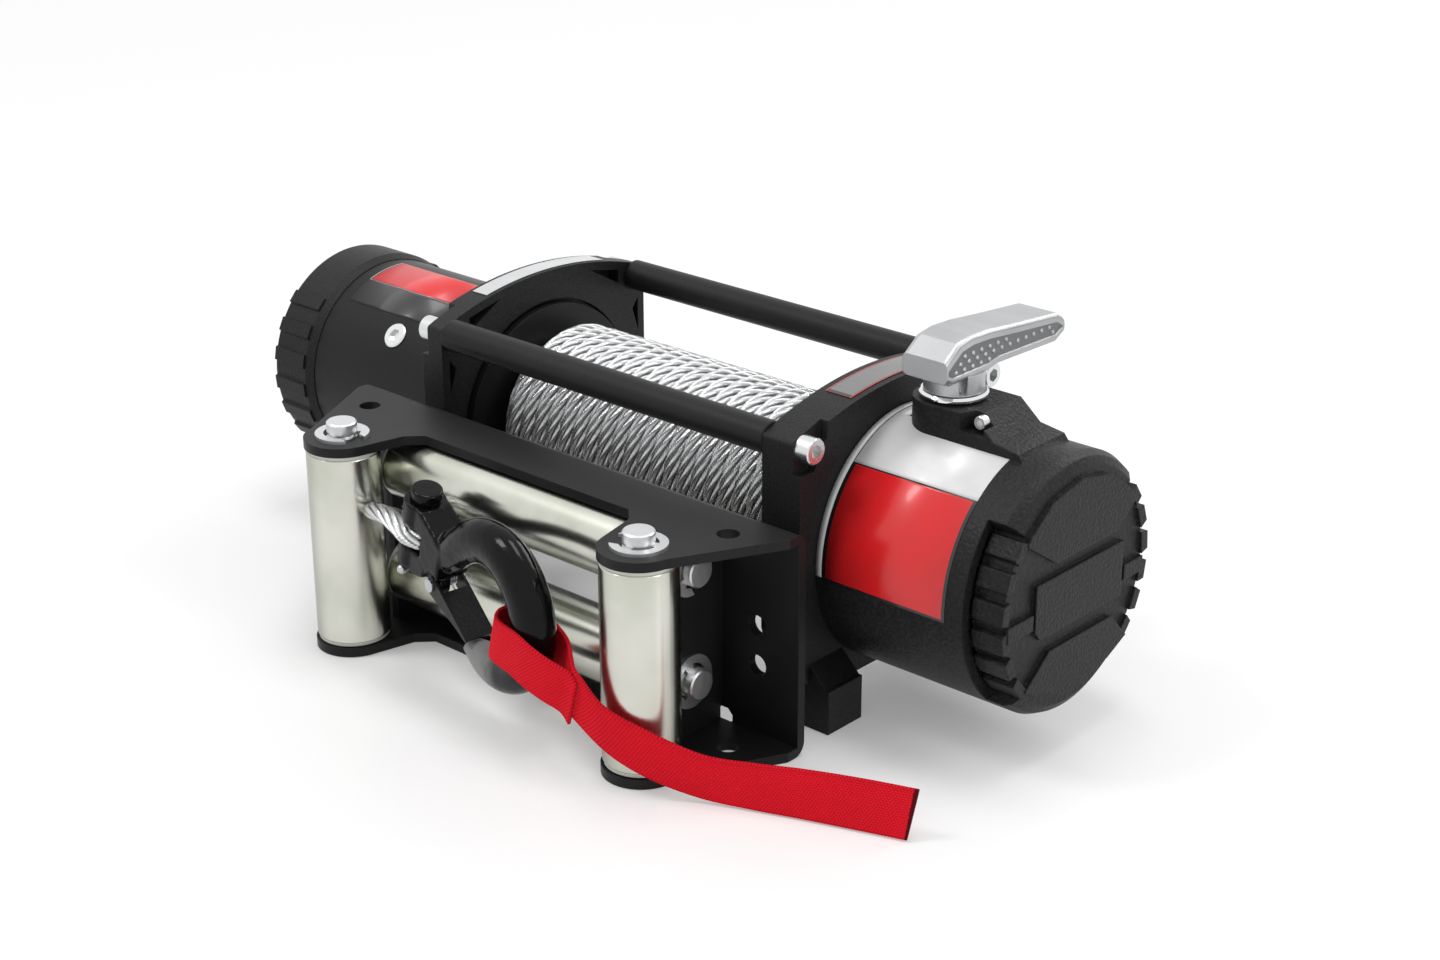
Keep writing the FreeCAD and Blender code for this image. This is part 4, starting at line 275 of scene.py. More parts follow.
@dataclass(frozen=True)
class PlatedSteel:
    """Zinc or chrome plating, or bare turned steel, with marks along or round the piece."""

    name: str
    color: Color = (0.74, 0.75, 0.74)
    tint: Color = (0.78, 0.78, 0.62)
    tint_share: float = 0.35
    roughness: float = 0.24
    stretch: tuple[float, float, float] = (1.0, 1.0, 1.0)
    scale: float = 260.0

    def build(self) -> bpy.types.Material:
        """The material."""
        wiring = Wiring(self.name)
        marks = wiring.noise(self.scale, 4.0, self.stretch)
        cloud = wiring.noise(18.0, 2.0)
        color = wiring.blend(cloud.ramp(0.35, 0.7) * self.tint_share, self.color, self.tint)
        rough = (marks - 0.5) * 0.14 + (cloud - 0.5) * 0.1 + self.roughness
        return wiring.finish(Base_Color=color, Metallic=1.0, Roughness=rough,
                             Normal=wiring.bump(marks, 0.00003, 0.5))


@dataclass(frozen=True)
class RollerZinc:
    """Yellowish zinc on a roller tube, darkened by painted shade towards its outline, with the pale bushing
    collars at its two ends.
    """

    name: str
    axis: int
    low: float
    high: float
    color: Color = (0.68, 0.68, 0.62)
    cloudy: Color = (0.55, 0.56, 0.48)
    collar: Color = (0.66, 0.68, 0.62)
    painted_shade_share: float = 0.75

    def build(self) -> bpy.types.Material:
        """The material."""
        wiring = Wiring(self.name)
        place = wiring.axes()[self.axis]
        collar = 1.0 - (place > self.low) * (place < self.high)
        cloud = wiring.noise(22.0, 3.0)
        fine = wiring.noise(700.0, 2.0)
        zinc = wiring.blend(cloud.ramp(0.3, 0.7), self.color, self.cloudy)
        # Painted shade: the zinc turns darker where the surface turns away from the camera, standing in for
        # dark reflections on the flanks.
        facing = Value(wiring, wiring.add("ShaderNodeLayerWeight").outputs["Facing"])
        painted_flank_shade = shaded(self.cloudy, 0.3)
        turned = wiring.blend(facing.ramp(0.25, 1.0) * self.painted_shade_share, zinc, painted_flank_shade)
        return wiring.finish(Base_Color=wiring.blend(collar, turned, self.collar),
                             Metallic=1.0 - collar * 0.85,
                             Roughness=cloud * 0.1 + fine * 0.05 + collar * 0.3 + 0.16,
                             Normal=wiring.bump(fine, 0.00003, 0.4))


@dataclass(frozen=True)
class WireRope:
    """Bright steel wires laid in strands, with painted shade in the gaps between strands and wires; the
    pattern runs round the rope and along it.
    """

    name: str
    color: Color = (0.9, 0.91, 0.92)
    wires: int = 44
    lay: float = 0.064

    def build(self) -> bpy.types.Material:
        """The material."""
        wiring = Wiring(self.name)
        around, along = wiring.pattern()
        turn = (around + along / self.lay) * (math.tau * self.wires)
        wire = turn.sine() * 0.5 + 0.5
        wear = wiring.noise(55.0, 3.0)
        fine = wiring.noise(900.0, 2.0)
        dark_shade_and_tone = shaded(self.color, 0.2)
        # Painted shade: the colour darkens in the gaps between the six strands and in the troughs between
        # wires; the wear and fine noise add random tone.
        lobe = ((around * 6.0).fraction() - 0.5)
        gap = abs(lobe).ramp(0.3, 0.5)
        shade = (wire.ramp(0.0, 0.75) * 0.7 + wear * 0.35 + fine * 0.15 - gap * 0.9).ramp(0.0, 0.9)
        return wiring.finish(Base_Color=wiring.blend(shade, dark_shade_and_tone, self.color), Metallic=0.95,
                             Roughness=0.3 - wear * 0.14, Normal=wiring.bump(wire, 0.00018, 0.8))


@dataclass(frozen=True)
class GlossForging:
    """Thick gloss paint on a forging, worn to grey metal near one place."""

    name: str
    worn_at: tuple[float, float, float]
    worn_reach: float
    color: Color = (0.004, 0.004, 0.0045)
    worn: Color = (0.24, 0.24, 0.24)

    def build(self) -> bpy.types.Material:
        """The material."""
        wiring = Wiring(self.name)
        wave = wiring.noise(120.0, 3.0)
        away = wiring.add("ShaderNodeVectorMath", operation="DISTANCE")
        wiring.feed(away.inputs[0], wiring.place())
        away.inputs[1].default_value = self.worn_at
        near = 1.0 - (Value(wiring, away.outputs["Value"]) + (wave - 0.5) * 0.012).ramp(
            self.worn_reach * 0.45, self.worn_reach)
        return wiring.finish(Base_Color=wiring.blend(near, self.color, self.worn),
                             Roughness=wave * 0.1 + near * 0.2 + 0.08, Specular_IOR_Level=0.15,
                             Normal=wiring.bump(wave, 0.0006, 0.6))


# Where the paint of the hook is worn off: the tip below the strap
TIP: tuple[float, float, float] = (0.0018, -0.1700, 0.0295)


@dataclass(frozen=True)
class BlastedAlloy:
    """Cast alloy, blasted matt, with painted shade on the sunken floors that face along X."""

    name: str
    color: Color = (0.58, 0.59, 0.6)
    floors: tuple[float, float] = (0.1675, 0.0132)
    edge: float = 0.0005

    def build(self) -> bpy.types.Material:
        """The material."""
        wiring = Wiring(self.name)
        grain = wiring.noise(2200.0, 2.0)
        cloud = wiring.noise(30.0, 2.0)
        shade = cloud * 0.5 + grain * 0.4
        dark = shaded(self.color, 0.66)
        # Painted shade: the sunken floors of the dot panels get this much darker colour.
        painted_floor_shade = shaded(self.color, 0.3)
        middle, half = self.floors
        facing = wiring.split(wiring.add("ShaderNodeTexCoord").outputs["Normal"])[0]
        floor = abs(facing).ramp(0.8, 0.95)
        floor = floor * (abs(wiring.axes()[0] - middle) < half)
        skin_color = wiring.blend(shade.ramp(0.2, 0.9), dark, self.color)
        return wiring.finish(Base_Color=wiring.blend(floor, skin_color, painted_floor_shade),
                             Metallic=0.85, Roughness=0.28 + grain * 0.16,
                             Normal=wiring.bump(grain, 0.00008, 0.9, wiring.rounded(self.edge)))


@dataclass(frozen=True)
class Webbing:
    """Woven polyester webbing: staggered ribs across it, yarns along it, a seared end."""

    name: str
    color: Color = (0.86, 0.006, 0.022)
    cut_at: float = 0.2404

    def build(self) -> bpy.types.Material:
        """The material."""
        wiring = Wiring(self.name)
        across, along = wiring.pattern()
        shift = ((across / 0.0024).fraction() > 0.5) * 0.5
        rib = ((along / 0.0017 + shift) * math.tau).sine() * 0.5 + 0.5
        yarn = (across * (math.tau / 0.0012)).sine() * 0.5 + 0.5
        cloud = wiring.noise(40.0, 3.0)
        fuzz = wiring.noise(2600.0, 2.0)
        edge = abs(across - 0.0125).ramp(0.0105, 0.0125)
        dark = shaded(self.color, 0.42)
        shade = (rib * 0.5 + yarn * 0.3 + cloud * 0.3 + fuzz * 0.2 - edge * 0.2).ramp(0.05, 0.85)
        height = rib * 0.7 + yarn * 0.4 + fuzz * 0.3
        seared = (wiring.axes()[0] + fuzz * 0.0012) > (self.cut_at + 0.0006)
        woven = wiring.blend(shade, dark, self.color)
        burnt = shaded(self.color, 0.12)
        return wiring.finish(Base_Color=wiring.blend(seared, woven, burnt), Roughness=0.8,
                             Specular_IOR_Level=0.15, Normal=wiring.bump(height, 0.0004, 0.9))


@dataclass(frozen=True)
class PrintedSheet:
    """A plain printed sheet: a band of one color, a field of another, a dark line round the field."""

    name: str
    band: Color
    field_color: Color
    band_share: float
    line: float = 0.012
    roughness: float = 0.3

    def build(self) -> bpy.types.Material:
        """The material."""
        wiring = Wiring(self.name)
        along, down = wiring.pattern()
        in_field = (down > self.band_share) * (abs(along - 0.5) < (0.5 - self.line))
        in_field = in_field * (down < (1.0 - self.line))
        ring = (down > (self.band_share + self.line)) * (abs(along - 0.5) < (0.5 - 2 * self.line))
        ring = ring * (down < (1.0 - 2 * self.line))
        cloud = wiring.noise(60.0, 2.0)
        paper = wiring.blend(in_field, self.band, (0.015, 0.015, 0.015))
        color = wiring.blend(ring, paper, self.field_color)
        grimy = wiring.blend(cloud.ramp(0.4, 0.8) * 0.1, color, (0.05, 0.05, 0.05))
        return wiring.finish(Base_Color=grimy, Roughness=cloud * 0.1 + self.roughness,
                             Coat_Weight=0.3, Coat_Roughness=0.15)


@dataclass(frozen=True)
class PlainSolid:
    """A simple worked material for what is hidden inside: metal, copper, bronze or friction stuff."""

    name: str
    color: Color
    metallic: float = 1.0
    roughness: float = 0.35
    scale: float = 300.0

    def build(self) -> bpy.types.Material:
        """The material."""
        wiring = Wiring(self.name)
        marks = wiring.noise(self.scale, 3.0)
        dark = shaded(self.color, 0.6)
        return wiring.finish(Base_Color=wiring.blend(marks.ramp(0.3, 0.7), dark, self.color),
                             Metallic=self.metallic, Roughness=marks * 0.2 + self.roughness - 0.1,
                             Normal=wiring.bump(marks, 0.00005, 0.5))


class Finish(Enum):
    """Every finish of the winch."""

    CASTING = CastPaint("casting")
    STEEL_PAINT = CastPaint("black_steel", (0.007, 0.007, 0.0075), 0.38, 2600.0, 0.00005, 0.0005)
    BAR_PAINT = CastPaint("bar_paint", (0.008, 0.008, 0.0085), 0.42, 2000.0, 0.00007)
    FORGING = GlossForging("forged_black", TIP, 0.034)
    UPRIGHT_ROLLER = RollerZinc("upright_roller_zinc", 2, 0.0075, 0.1099)
    LEVEL_ROLLER = RollerZinc("level_roller_zinc", 0, -0.0955, 0.0955)
    ZINC = PlatedSteel("zinc", (0.72, 0.73, 0.73), (0.7, 0.7, 0.66), 0.2, 0.3)
    WIRE = WireRope("rope_steel")
    CHROME = PlatedSteel("bright_steel", (0.8, 0.81, 0.82), (0.76, 0.78, 0.8), 0.2, 0.1)
    MACHINED = PlatedSteel("machined_steel", (0.5, 0.51, 0.53), (0.45, 0.45, 0.46), 0.4, 0.3)
    LEVER = BlastedAlloy("lever_alloy")
    BRONZE = PlainSolid("bronze", (0.5, 0.33, 0.14))
    COPPER = PlainSolid("copper", (0.72, 0.3, 0.15))
    MOTOR_PAINT = CastPaint("motor_paint", (0.006, 0.006, 0.0065), 0.36, 2200.0, 0.00005)
    CAP_PAINT = CastPaint("cap_paint", (0.008, 0.008, 0.0085), 0.44, 900.0, 0.0003)
    HOUSING_PAINT = CastPaint("housing_paint", (0.008, 0.008, 0.0085), 0.4, 560.0, 0.0006, 0.0012)
    LATCH_PAINT = CastPaint("latch_paint", (0.01, 0.01, 0.011), 0.26, 700.0, 0.00005, 0.0004)
    PIN_ZINC = PlatedSteel("pin_zinc", (0.7, 0.71, 0.72), (0.66, 0.66, 0.64), 0.2, 0.36)
    RED_BAND = PrintedSheet("red_band", (0.62, 0.62, 0.62), (0.7, 0.012, 0.015), 0.0, 0.01)
    ARCH_LABEL = PrintedSheet("arch_label", (0.7, 0.02, 0.02), (0.16, 0.16, 0.165), 0.0, 0.03)
    LINING = PlainSolid("friction", (0.1, 0.085, 0.07), 0.0, 0.8, 900.0)
    WEBBING = Webbing("webbing")
    THREAD = PlainSolid("thread", (0.5, 0.01, 0.02), 0.0, 0.7, 3000.0)
    RED_LABEL = PrintedSheet("red_label", (0.02, 0.02, 0.02), (0.72, 0.012, 0.015), 0.0)
    WHITE_LABEL = PrintedSheet("white_label", (0.78, 0.78, 0.78), (0.8, 0.8, 0.8), 0.0, 0.0)
    DARK_LABEL = PrintedSheet("dark_label", (0.012, 0.012, 0.012), (0.012, 0.012, 0.012), 0.0, 0.0)
    SILVER_LABEL = PrintedSheet("silver_label", (0.5, 0.51, 0.52), (0.55, 0.56, 0.57), 0.0, 0.0)

    def material(self) -> bpy.types.Material:
        """The finish's material, built once."""
        made = bpy.data.materials.get(self.value.name + "_finish")
        if made is None:
            made = self.value.build()
            made.name = self.value.name + "_finish"
        return made


# Meshes

def select_only(*pieces: bpy.types.Object) -> None:
    """Selects these pieces alone and makes the first one active."""
    bpy.ops.object.select_all(action="DESELECT")
    for piece in pieces:
        piece.select_set(True)
    bpy.context.view_layer.objects.active = pieces[0]


def add_piece(name: str, data: Any) -> bpy.types.Object:
    """A new object of the scene with this data."""
    piece = bpy.data.objects.new(name, data)
    bpy.context.scene.collection.objects.link(piece)
    return piece


def primitive(name: str, shape: Callable[..., Any], **settings: Any) -> bpy.types.Object:
    """A new basic shape, selected alone."""
    bpy.ops.object.select_all(action="DESELECT")
    shape(**settings)
    piece = bpy.context.view_layer.objects.active
    piece.name = piece.data.name = name
    return piece


def whole_copy(node: bpy.types.Object, name: str) -> bpy.types.Object:
    """A copy of a CAD node as one closed mesh.

    Args:
        node: The node, which is left alone.
        name: The copy's name.

    Returns:
        The copy, selected alone.
    """
    piece = add_piece(name, node.data.copy())
    piece.data.name = name
    select_only(piece)
    bpy.ops.object.mode_set(mode="EDIT")
    bpy.ops.mesh.select_all(action="SELECT")
    bpy.ops.mesh.remove_doubles(threshold=MERGE_REACH)
    bpy.ops.mesh.normals_make_consistent(inside=False)
    bpy.ops.object.mode_set(mode="OBJECT")
    return piece


def apply_modifier(piece: bpy.types.Object, kind: str, **settings: Any) -> None:
    """Adds a modifier with these settings and applies it."""
    select_only(piece)
    modifier = piece.modifiers.new(kind.title(), kind)
    for name, setting in settings.items():
        setattr(modifier, name, setting)
    bpy.ops.object.modifier_apply(modifier=modifier.name)


def dress(piece: bpy.types.Object, finish: Finish, body: str) -> bpy.types.Object:
    """Gives a new piece its finish and the body it moves with.

    Args:
        piece: The finished piece.
        finish: Its finish.
        body: The CAD body.

    Returns:
        The piece.
    """
    piece.data.materials.clear()
    piece.data.materials.append(finish.material())
    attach(piece, body)
    log.info("%s: %d faces, moves with %s", piece.name, len(piece.data.polygons), body)
    return piece


def skin(name: str, rings: Sequence[Sequence[Vector]], around: Sequence[float],
         along: Sequence[float]) -> bpy.types.Object:
    """A closed skin through rings of points, with pattern coordinates.

    Args:
        name: The piece's name.
        rings: The rings, one after another, each with as many points.
        around: Pattern coordinate of each point of a ring, and of the first again.
        along: Pattern coordinate of each ring.

    Returns:
        The piece.
    """
    count = len(rings[0])
    faces = []
    marks = []
    for number in range(len(rings) - 1):
        for step in range(count):
            after = (step + 1) % count
            low, high = number * count, (number + 1) * count
            faces.append((low + step, low + after, high + after, high + step))
            marks.extend(((around[step], along[number]), (around[step + 1], along[number]),
                          (around[step + 1], along[number + 1]), (around[step], along[number + 1])))
    last = (len(rings) - 1) * count
    for ring, place in ((list(range(count))[::-1], along[0]), ([last + k for k in range(count)], along[-1])):
        faces.append(tuple(ring))
        marks.extend((around[point % count], place) for point in ring)
    mesh = bpy.data.meshes.new(name)
    mesh.from_pydata([point for ring in rings for point in ring], [], faces)
    pattern = mesh.uv_layers.new(name="Pattern")
    pattern.data.foreach_set("uv", [number for mark in marks for number in mark])
    work = bmesh.new()
    work.from_mesh(mesh)
    bmesh.ops.recalc_face_normals(work, faces=work.faces)
    work.to_mesh(mesh)
    work.free()
    mesh.shade_smooth()
    return add_piece(name, mesh)


def lengths(points: Sequence[Vector]) -> list[float]:
    """Distance along a path to each of its points."""
    reach = [0.0]
    for before, after in zip(points, points[1:]):
        reach.append(reach[-1] + (after - before).length)
    return reach


def evenly(points: Sequence[Vector], step: float) -> list[Vector]:
    """Points about a step apart on the same path."""
    reach = lengths(points)
    count = max(2, round(reach[-1] / step))
    result = []
    here = 0
    for number in range(count + 1):
        want = reach[-1] * number / count
        while here < len(points) - 2 and reach[here + 1] < want:
            here += 1
        share = (want - reach[here]) / max(reach[here + 1] - reach[here], 1e-9)
        result.append(points[here].lerp(points[here + 1], min(max(share, 0.0), 1.0)))
    return result


def through(points: Sequence[Vector], steps: int) -> list[Vector]:
    """A smooth path through points, with so many steps between two of them."""
    result = []
    for number in range(len(points) - 1):
        before = points[max(number - 1, 0)]
        start, end = points[number], points[number + 1]
        after = points[min(number + 2, len(points) - 1)]
        for step in range(steps):
            t = step / steps
            result.append(0.5 * (2 * start + (end - before) * t
                                 + (2 * before - 5 * start + 4 * end - after) * t * t
                                 + (3 * start - before - 3 * end + after) * t ** 3))
    result.append(points[-1])
    return result


def eased(points: Sequence[Vector], rounding: float = 0.45) -> list[Vector]:
    """Straight runs between points, joined by arcs.

    Args:
        points: Corners of the route.
        rounding: Share of the shorter run that an arc takes.

    Returns:
        Points close together on the route.
    """
    route = [points[0]]
    for before, corner, after in zip(points, points[1:], points[2:]):
        way_in, way_out = (corner - before).normalized(), (after - corner).normalized()
        turn = way_in.angle(way_out)
        cut = rounding * min((corner - before).length, (after - corner).length)
        radius = cut / math.tan(turn / 2)
        start = corner - way_in * cut
        axis = way_in.cross(way_out).normalized()
        centre = start + axis.cross(way_in) * radius
        for step in range(9):
            turned = Matrix.Rotation(turn * step / 8, 3, axis) @ (start - centre)
            route.append(centre + turned)
    route.append(points[-1])
    return route


def sweep(name: str, points: Sequence[Vector], section: Sequence[tuple[float, float]], side: Vector,
          lay: float = math.inf) -> bpy.types.Object:
    """A section led along a path.

    Args:
        name: The piece's name.
        points: The path.
        section: Angle and radius of each point of a ring.
        side: The way that angle 0 looks at the start.
        lay: Length in which the section turns once.

    Returns:
        The piece.
    """
    reach = lengths(points)
    rings = []
    for number, point in enumerate(points):
        before, after = points[max(number - 1, 0)], points[min(number + 1, len(points) - 1)]
        way = (after - before).normalized()
        side = (side - way * side.dot(way)).normalized()
        up = way.cross(side)
        twist = math.tau * reach[number] / lay
        rings.append([point + (side * math.cos(angle + twist) + up * math.sin(angle + twist)) * radius
                      for angle, radius in section])
    around = [number / len(section) for number in range(len(section) + 1)]
    return skin(name, rings, around, reach)


@dataclass(frozen=True)
class Strands:
    """Section of a wire rope: six round strands laid round each other."""

    diameter: float = 9.1 * MM
    lay: float = 59.0 * MM
    strands: int = 6
    ring_step: float = 3.2 * MM
    lobe: tuple[float, ...] = (0.6, 0.87, 0.969, 1.0, 0.969, 0.87)

    def section(self) -> list[tuple[float, float]]:
        """Angle and radius of each point of one ring."""
        count = self.strands * len(self.lobe)
        return [(math.tau * number / count, self.diameter / 2 * self.lobe[number % len(self.lobe)])
                for number in range(count)]

    def build(self, name: str, path: Sequence[Vector]) -> bpy.types.Object:
        """The rope along a path.

        Args:
            name: The piece's name.
            path: Points of its middle line.

        Returns:
            The piece.
        """
        up = Vector((0.0, 0.0, 1.0))
        return sweep(name, evenly(path, self.ring_step), self.section(), up, self.lay)


@dataclass(frozen=True)
class HookPlace:
    """Where the hook hangs: its pin, and the turn and fall of its load line."""

    pin: Vector = field(default_factory=lambda: Vector((-43.4, -158.0, 83.4)) * MM)
    heading: float = math.radians(-10.2)
    pitch: float = math.radians(16.0)

    def at(self, along: float, above: float = 0.0, beside: float = 0.0) -> Vector:
        """A point of the hook's own frame.

        Args:
            along: Millimetres along the load line.
            above: Millimetres up the pin.
            beside: Millimetres towards the drum.

        Returns:
            The point in metres.
        """
        turn, fall = self.heading, self.pitch
        load = Vector((math.cos(turn) * math.cos(fall), math.sin(turn) * math.cos(fall), -math.sin(fall)))
        up = Vector((math.cos(turn) * math.sin(fall), math.sin(turn) * math.sin(fall), math.cos(fall)))
        return self.pin + (load * along + up * above + up.cross(load) * beside) * MM


HOOK = HookPlace()


@dataclass
class DrumRope:
    """The rope on the drum, its lead to the fairlead and the eye round the clevis pin."""

    radius: float = 49.6 * MM
    pitch: float = 9.55 * MM
    turns: int = 21
    end_x: float = -96.5 * MM
    under_radius: float = 40.2 * MM
    under_pitch: float = 9.3 * MM
    under_turns: int = 22
    under_x: float = -104.9 * MM
    gap_middle: float = 63.6 * MM
    eye_x: float = -76.0 * MM
    ferrule_front: float = -91.0 * MM
    ferrule_length: float = 28.0 * MM
    forward: float = 97.0 * MM
    clevis_pin: float = 5.5 * MM
    steps: int = 64
    strands: Strands = Strands()

    def leave_angle(self) -> float:
        """Angle round the drum where the rope leaves it."""
        down = AXIS_HEIGHT - self.gap_middle
        away = math.hypot(self.forward, down)
        return math.atan2(-down, -self.forward) + math.acos(self.radius / away)

    @staticmethod
    def around(angle: float, x: float, radius: float) -> Vector:
        """A point round the drum: angle 0 is the back, a quarter turn the top."""
        return Vector((x, radius * math.cos(angle), AXIS_HEIGHT + radius * math.sin(angle)))

    def coil(self, angle: float, x: float, pitch: float, radius: float, turns: int) -> list[Vector]:
        """Turns round the drum.

        Args:
            angle: Where they begin, round the drum.
            x: Where they begin, along it.
            pitch: Their advance in one turn.
            radius: Their radius.
            turns: Their number.

        Returns:
            The points of their middle line.
        """
        return [self.around(angle + math.tau * number / self.steps, x + pitch * number / self.steps, radius)
                for number in range(turns * self.steps + 1)]

    def outer(self) -> list[Vector]:
        """The outer layer, from the gear side to where the rope leaves."""
        return self.coil(self.leave_angle(), self.end_x, self.pitch, self.radius, self.turns)[::-1]

    def under(self) -> list[Vector]:
        """The layer under it, laid the other way."""
        return self.coil(0.0, self.under_x, self.under_pitch, self.under_radius, self.under_turns)

    def lead(self) -> list[Vector]:
        """The taut lead from the drum into the ferrule."""
        outer = self.outer()
        leaving = (outer[-1] - outer[-2]).normalized()
        start = outer[-1] + leaving * self.strands.diameter
        approach = start + leaving * 20 * MM
        front = Vector((self.eye_x, self.ferrule_front, self.gap_middle - 2 * MM))
        back = front - (front - approach).normalized() * self.ferrule_length
        return [outer[-1]] + eased([start, approach, back])

    def eye(self) -> list[Vector]:
        """Out of the ferrule, round the clevis pin and back."""
        half = (self.strands.diameter + 0.8 * MM) / 2
        loop = (self.clevis_pin + self.strands.diameter / 2 + 0.4 * MM) / MM
        left, right = self.eye_x - half, self.eye_x + half
        gap = self.gap_middle
        outer = [Vector((left, self.ferrule_front, gap - 2 * MM)),
                 Vector((left, -128 * MM, gap + 2.5 * MM)),
                 Vector((left - 0.5 * MM, -162 * MM, gap + 21.5 * MM)),
                 HOOK.at(-17, 0, -loop), HOOK.at(0, 0, -loop)]
        inner = [HOOK.at(0, 0, loop), HOOK.at(-14, 0, loop),
                 Vector((right + 0.5 * MM, -146 * MM, gap + 19 * MM)),
                 Vector((right, -128 * MM, gap + 4.5 * MM)),
                 Vector((right, self.ferrule_front, gap - 2 * MM))]
        bend = [HOOK.at(loop * math.sin(math.pi * step / 12), 0, -loop * math.cos(math.pi * step / 12))
                for step in range(1, 12)]
        return eased(outer) + bend + eased(inner)

    def build(self) -> None:
        """Makes the four lengths of rope."""
        plan = (("rope_outer_turns", self.outer(), "drum", "rope_outer_layer"),
                ("rope_under_turns", self.under(), "drum", "rope_core"),
                ("rope_taut_lead", self.lead(), "frame", "rope_lead"),
                ("rope_end_eye", self.eye(), "frame", "rope_eye"))
        for name, path, body, node in plan:
            piece = dress(self.strands.build(name, path), Finish.WIRE, body)
            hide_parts(node)


@dataclass
class PullStrap:
    """The webbing strap: a sewn loop round the bowl of the hook and a tail on its edge."""

    width: float = 25.0
    thickness: float = 2.2 * MM
    near: tuple = ((77, 7.5, 0), (78.5, 8, -5.5), (83, 8.5, -10), (90, 10.5, -11.9), (102, 13, -11.9),
                   (113, 13, -11), (123, 11, -7), (132, 8.5, -1.6), (139, 6.0, -1.15))
    far: tuple = ((77, 7.5, 0), (78.5, 8, 5.5), (83, 8, 10.8), (90, 8.5, 12.6), (101, 9, 12.9),
                  (113, 9.5, 11), (124, 10, 5.5), (132, 10, 1.6), (139, 9, 1.15))
    tail: tuple = (((107, -180, 19), (104, -180, 43.5)), ((126, -173, 10), (123, -172, 34.6)),
                   ((147, -160, 2), (148, -160, 25.5)), ((170, -150, 0.4), (170, -148, 24)),
                   ((193, -141, 0.3), (191, -138, 24.6)), ((218, -132, 0.3), (217, -127, 24.8)),
                   ((241, -124, 0.3), (242, -117, 24.3)))
    profile: tuple = ((0.0, 0.35), (0.012, 0.75), (0.04, 1.0), (0.08, 0.82), (0.12, 1.0), (0.5, 1.0),
                      (0.88, 1.0), (0.92, 0.82), (0.96, 1.0), (0.988, 0.75), (1.0, 0.35))
    steps: int = 8
    seam_rows: int = 3
    row_step: int = 3
    row_stitches: int = 11
    first_stitch: float = 0.07
    stitch_step: float = 0.086

    def tail_edges(self) -> list[tuple[Vector, Vector]]:
        """Lower and upper edge of the tail."""
        return [tuple(Vector(point) * MM for point in pair) for pair in self.tail]

    def smooth(self, pairs: Sequence[tuple[Vector, Vector]]) -> list[list[Vector]]:
        """Smooth lower and upper edge through pairs of points."""
        return [through([pair[side] for pair in pairs], self.steps) for side in (0, 1)]

    def edges(self, places: Iterable[tuple[float, float, float]]) -> list[tuple[Vector, Vector]]:
        """Lower and upper edge of the loop at these places."""
        return [(HOOK.at(along, top - self.width, beside), HOOK.at(along, top, beside))
                for along, top, beside in places]

    def band(self, name: str, pairs: Sequence[tuple[Vector, Vector]]) -> bpy.types.Object:
        """A band with rounded selvedges through pairs of edge points.

        Args:
            name: The piece's name.
            pairs: Lower and upper edge at each place.

        Returns:
            The piece.
        """
        low, high = self.smooth(pairs)
        middle = [(a + b) / 2 for a, b in zip(low, high)]
        half = self.thickness / 2
        section = [*self.profile, *((share, -lift) for share, lift in self.profile[::-1])]
        rings = []
        for number, (a, b) in enumerate(zip(low, high)):
            way = (middle[min(number + 1, len(middle) - 1)] - middle[max(number - 1, 0)]).normalized()
            across = way.cross((b - a).normalized()).normalized() * half
            rings.append([a.lerp(b, share) + across * lift for share, lift in section])
        around = [share * self.width * MM for share, _ in section]
        return skin(name, rings, around + [around[0]], lengths(middle))

    def stitches(self, name: str, start: int) -> bpy.types.Object:
        """Rows of stitches across the seam, each a bead of its own, joined into one piece.

        Args:
            name: The piece's name.
            start: First station of the seam.

        Returns:
            The piece.
        """
        low, high = self.smooth(self.edges(self.far) + self.tail_edges())
        made = []
        for row in range(self.seam_rows):
            number = start + row * self.row_step
            a, b = low[number], high[number]
            way = (low[number + 1] - low[number - 1]).normalized()
            across = way.cross((b - a).normalized()).normalized()
            for step in range(self.row_stitches):
                place = a.lerp(b, self.first_stitch + self.stitch_step * step)
                for side in (1, -1):
                    made.append(self._stitch(place + across * side * (self.thickness / 2), b - a, across))
        select_only(*made)
        bpy.ops.object.join()
        piece = bpy.context.view_layer.objects.active
        piece.name = piece.data.name = name
        return piece

    @staticmethod
    def _stitch(place: Vector, rise: Vector, out: Vector) -> bpy.types.Object:
        """One stitch: a small flattened bead of thread."""
        turn = Matrix((out.normalized(), rise.cross(out).normalized(), rise.normalized())).transposed()
        stitch = primitive("stitch", bpy.ops.mesh.primitive_uv_sphere_add, segments=8, ring_count=6,
                           radius=0.5 * MM)
        bpy.ops.object.mode_set(mode="EDIT")
        bpy.ops.mesh.select_all(action="SELECT")
        bpy.ops.transform.resize(value=(0.7, 0.9, 1.9))
        bpy.ops.object.mode_set(mode="OBJECT")
        stitch.data.transform(Matrix.Translation(place) @ turn.to_4x4())
        stitch.data.shade_smooth()
        return stitch

    def build(self) -> None:
        """Makes the strap and its sewing."""
        near = self.band("strap_near_side", self.edges(self.near))
        far = self.band("strap_far_side_and_tail", self.edges(self.far) + self.tail_edges())
        for piece in (near, far):
            dress(piece, Finish.WEBBING, "hook")
            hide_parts("pull_strap")
        sewing = dress(self.stitches("strap_stitches", (len(self.far) - 2) * self.steps + 2),
                       Finish.THREAD, "hook")


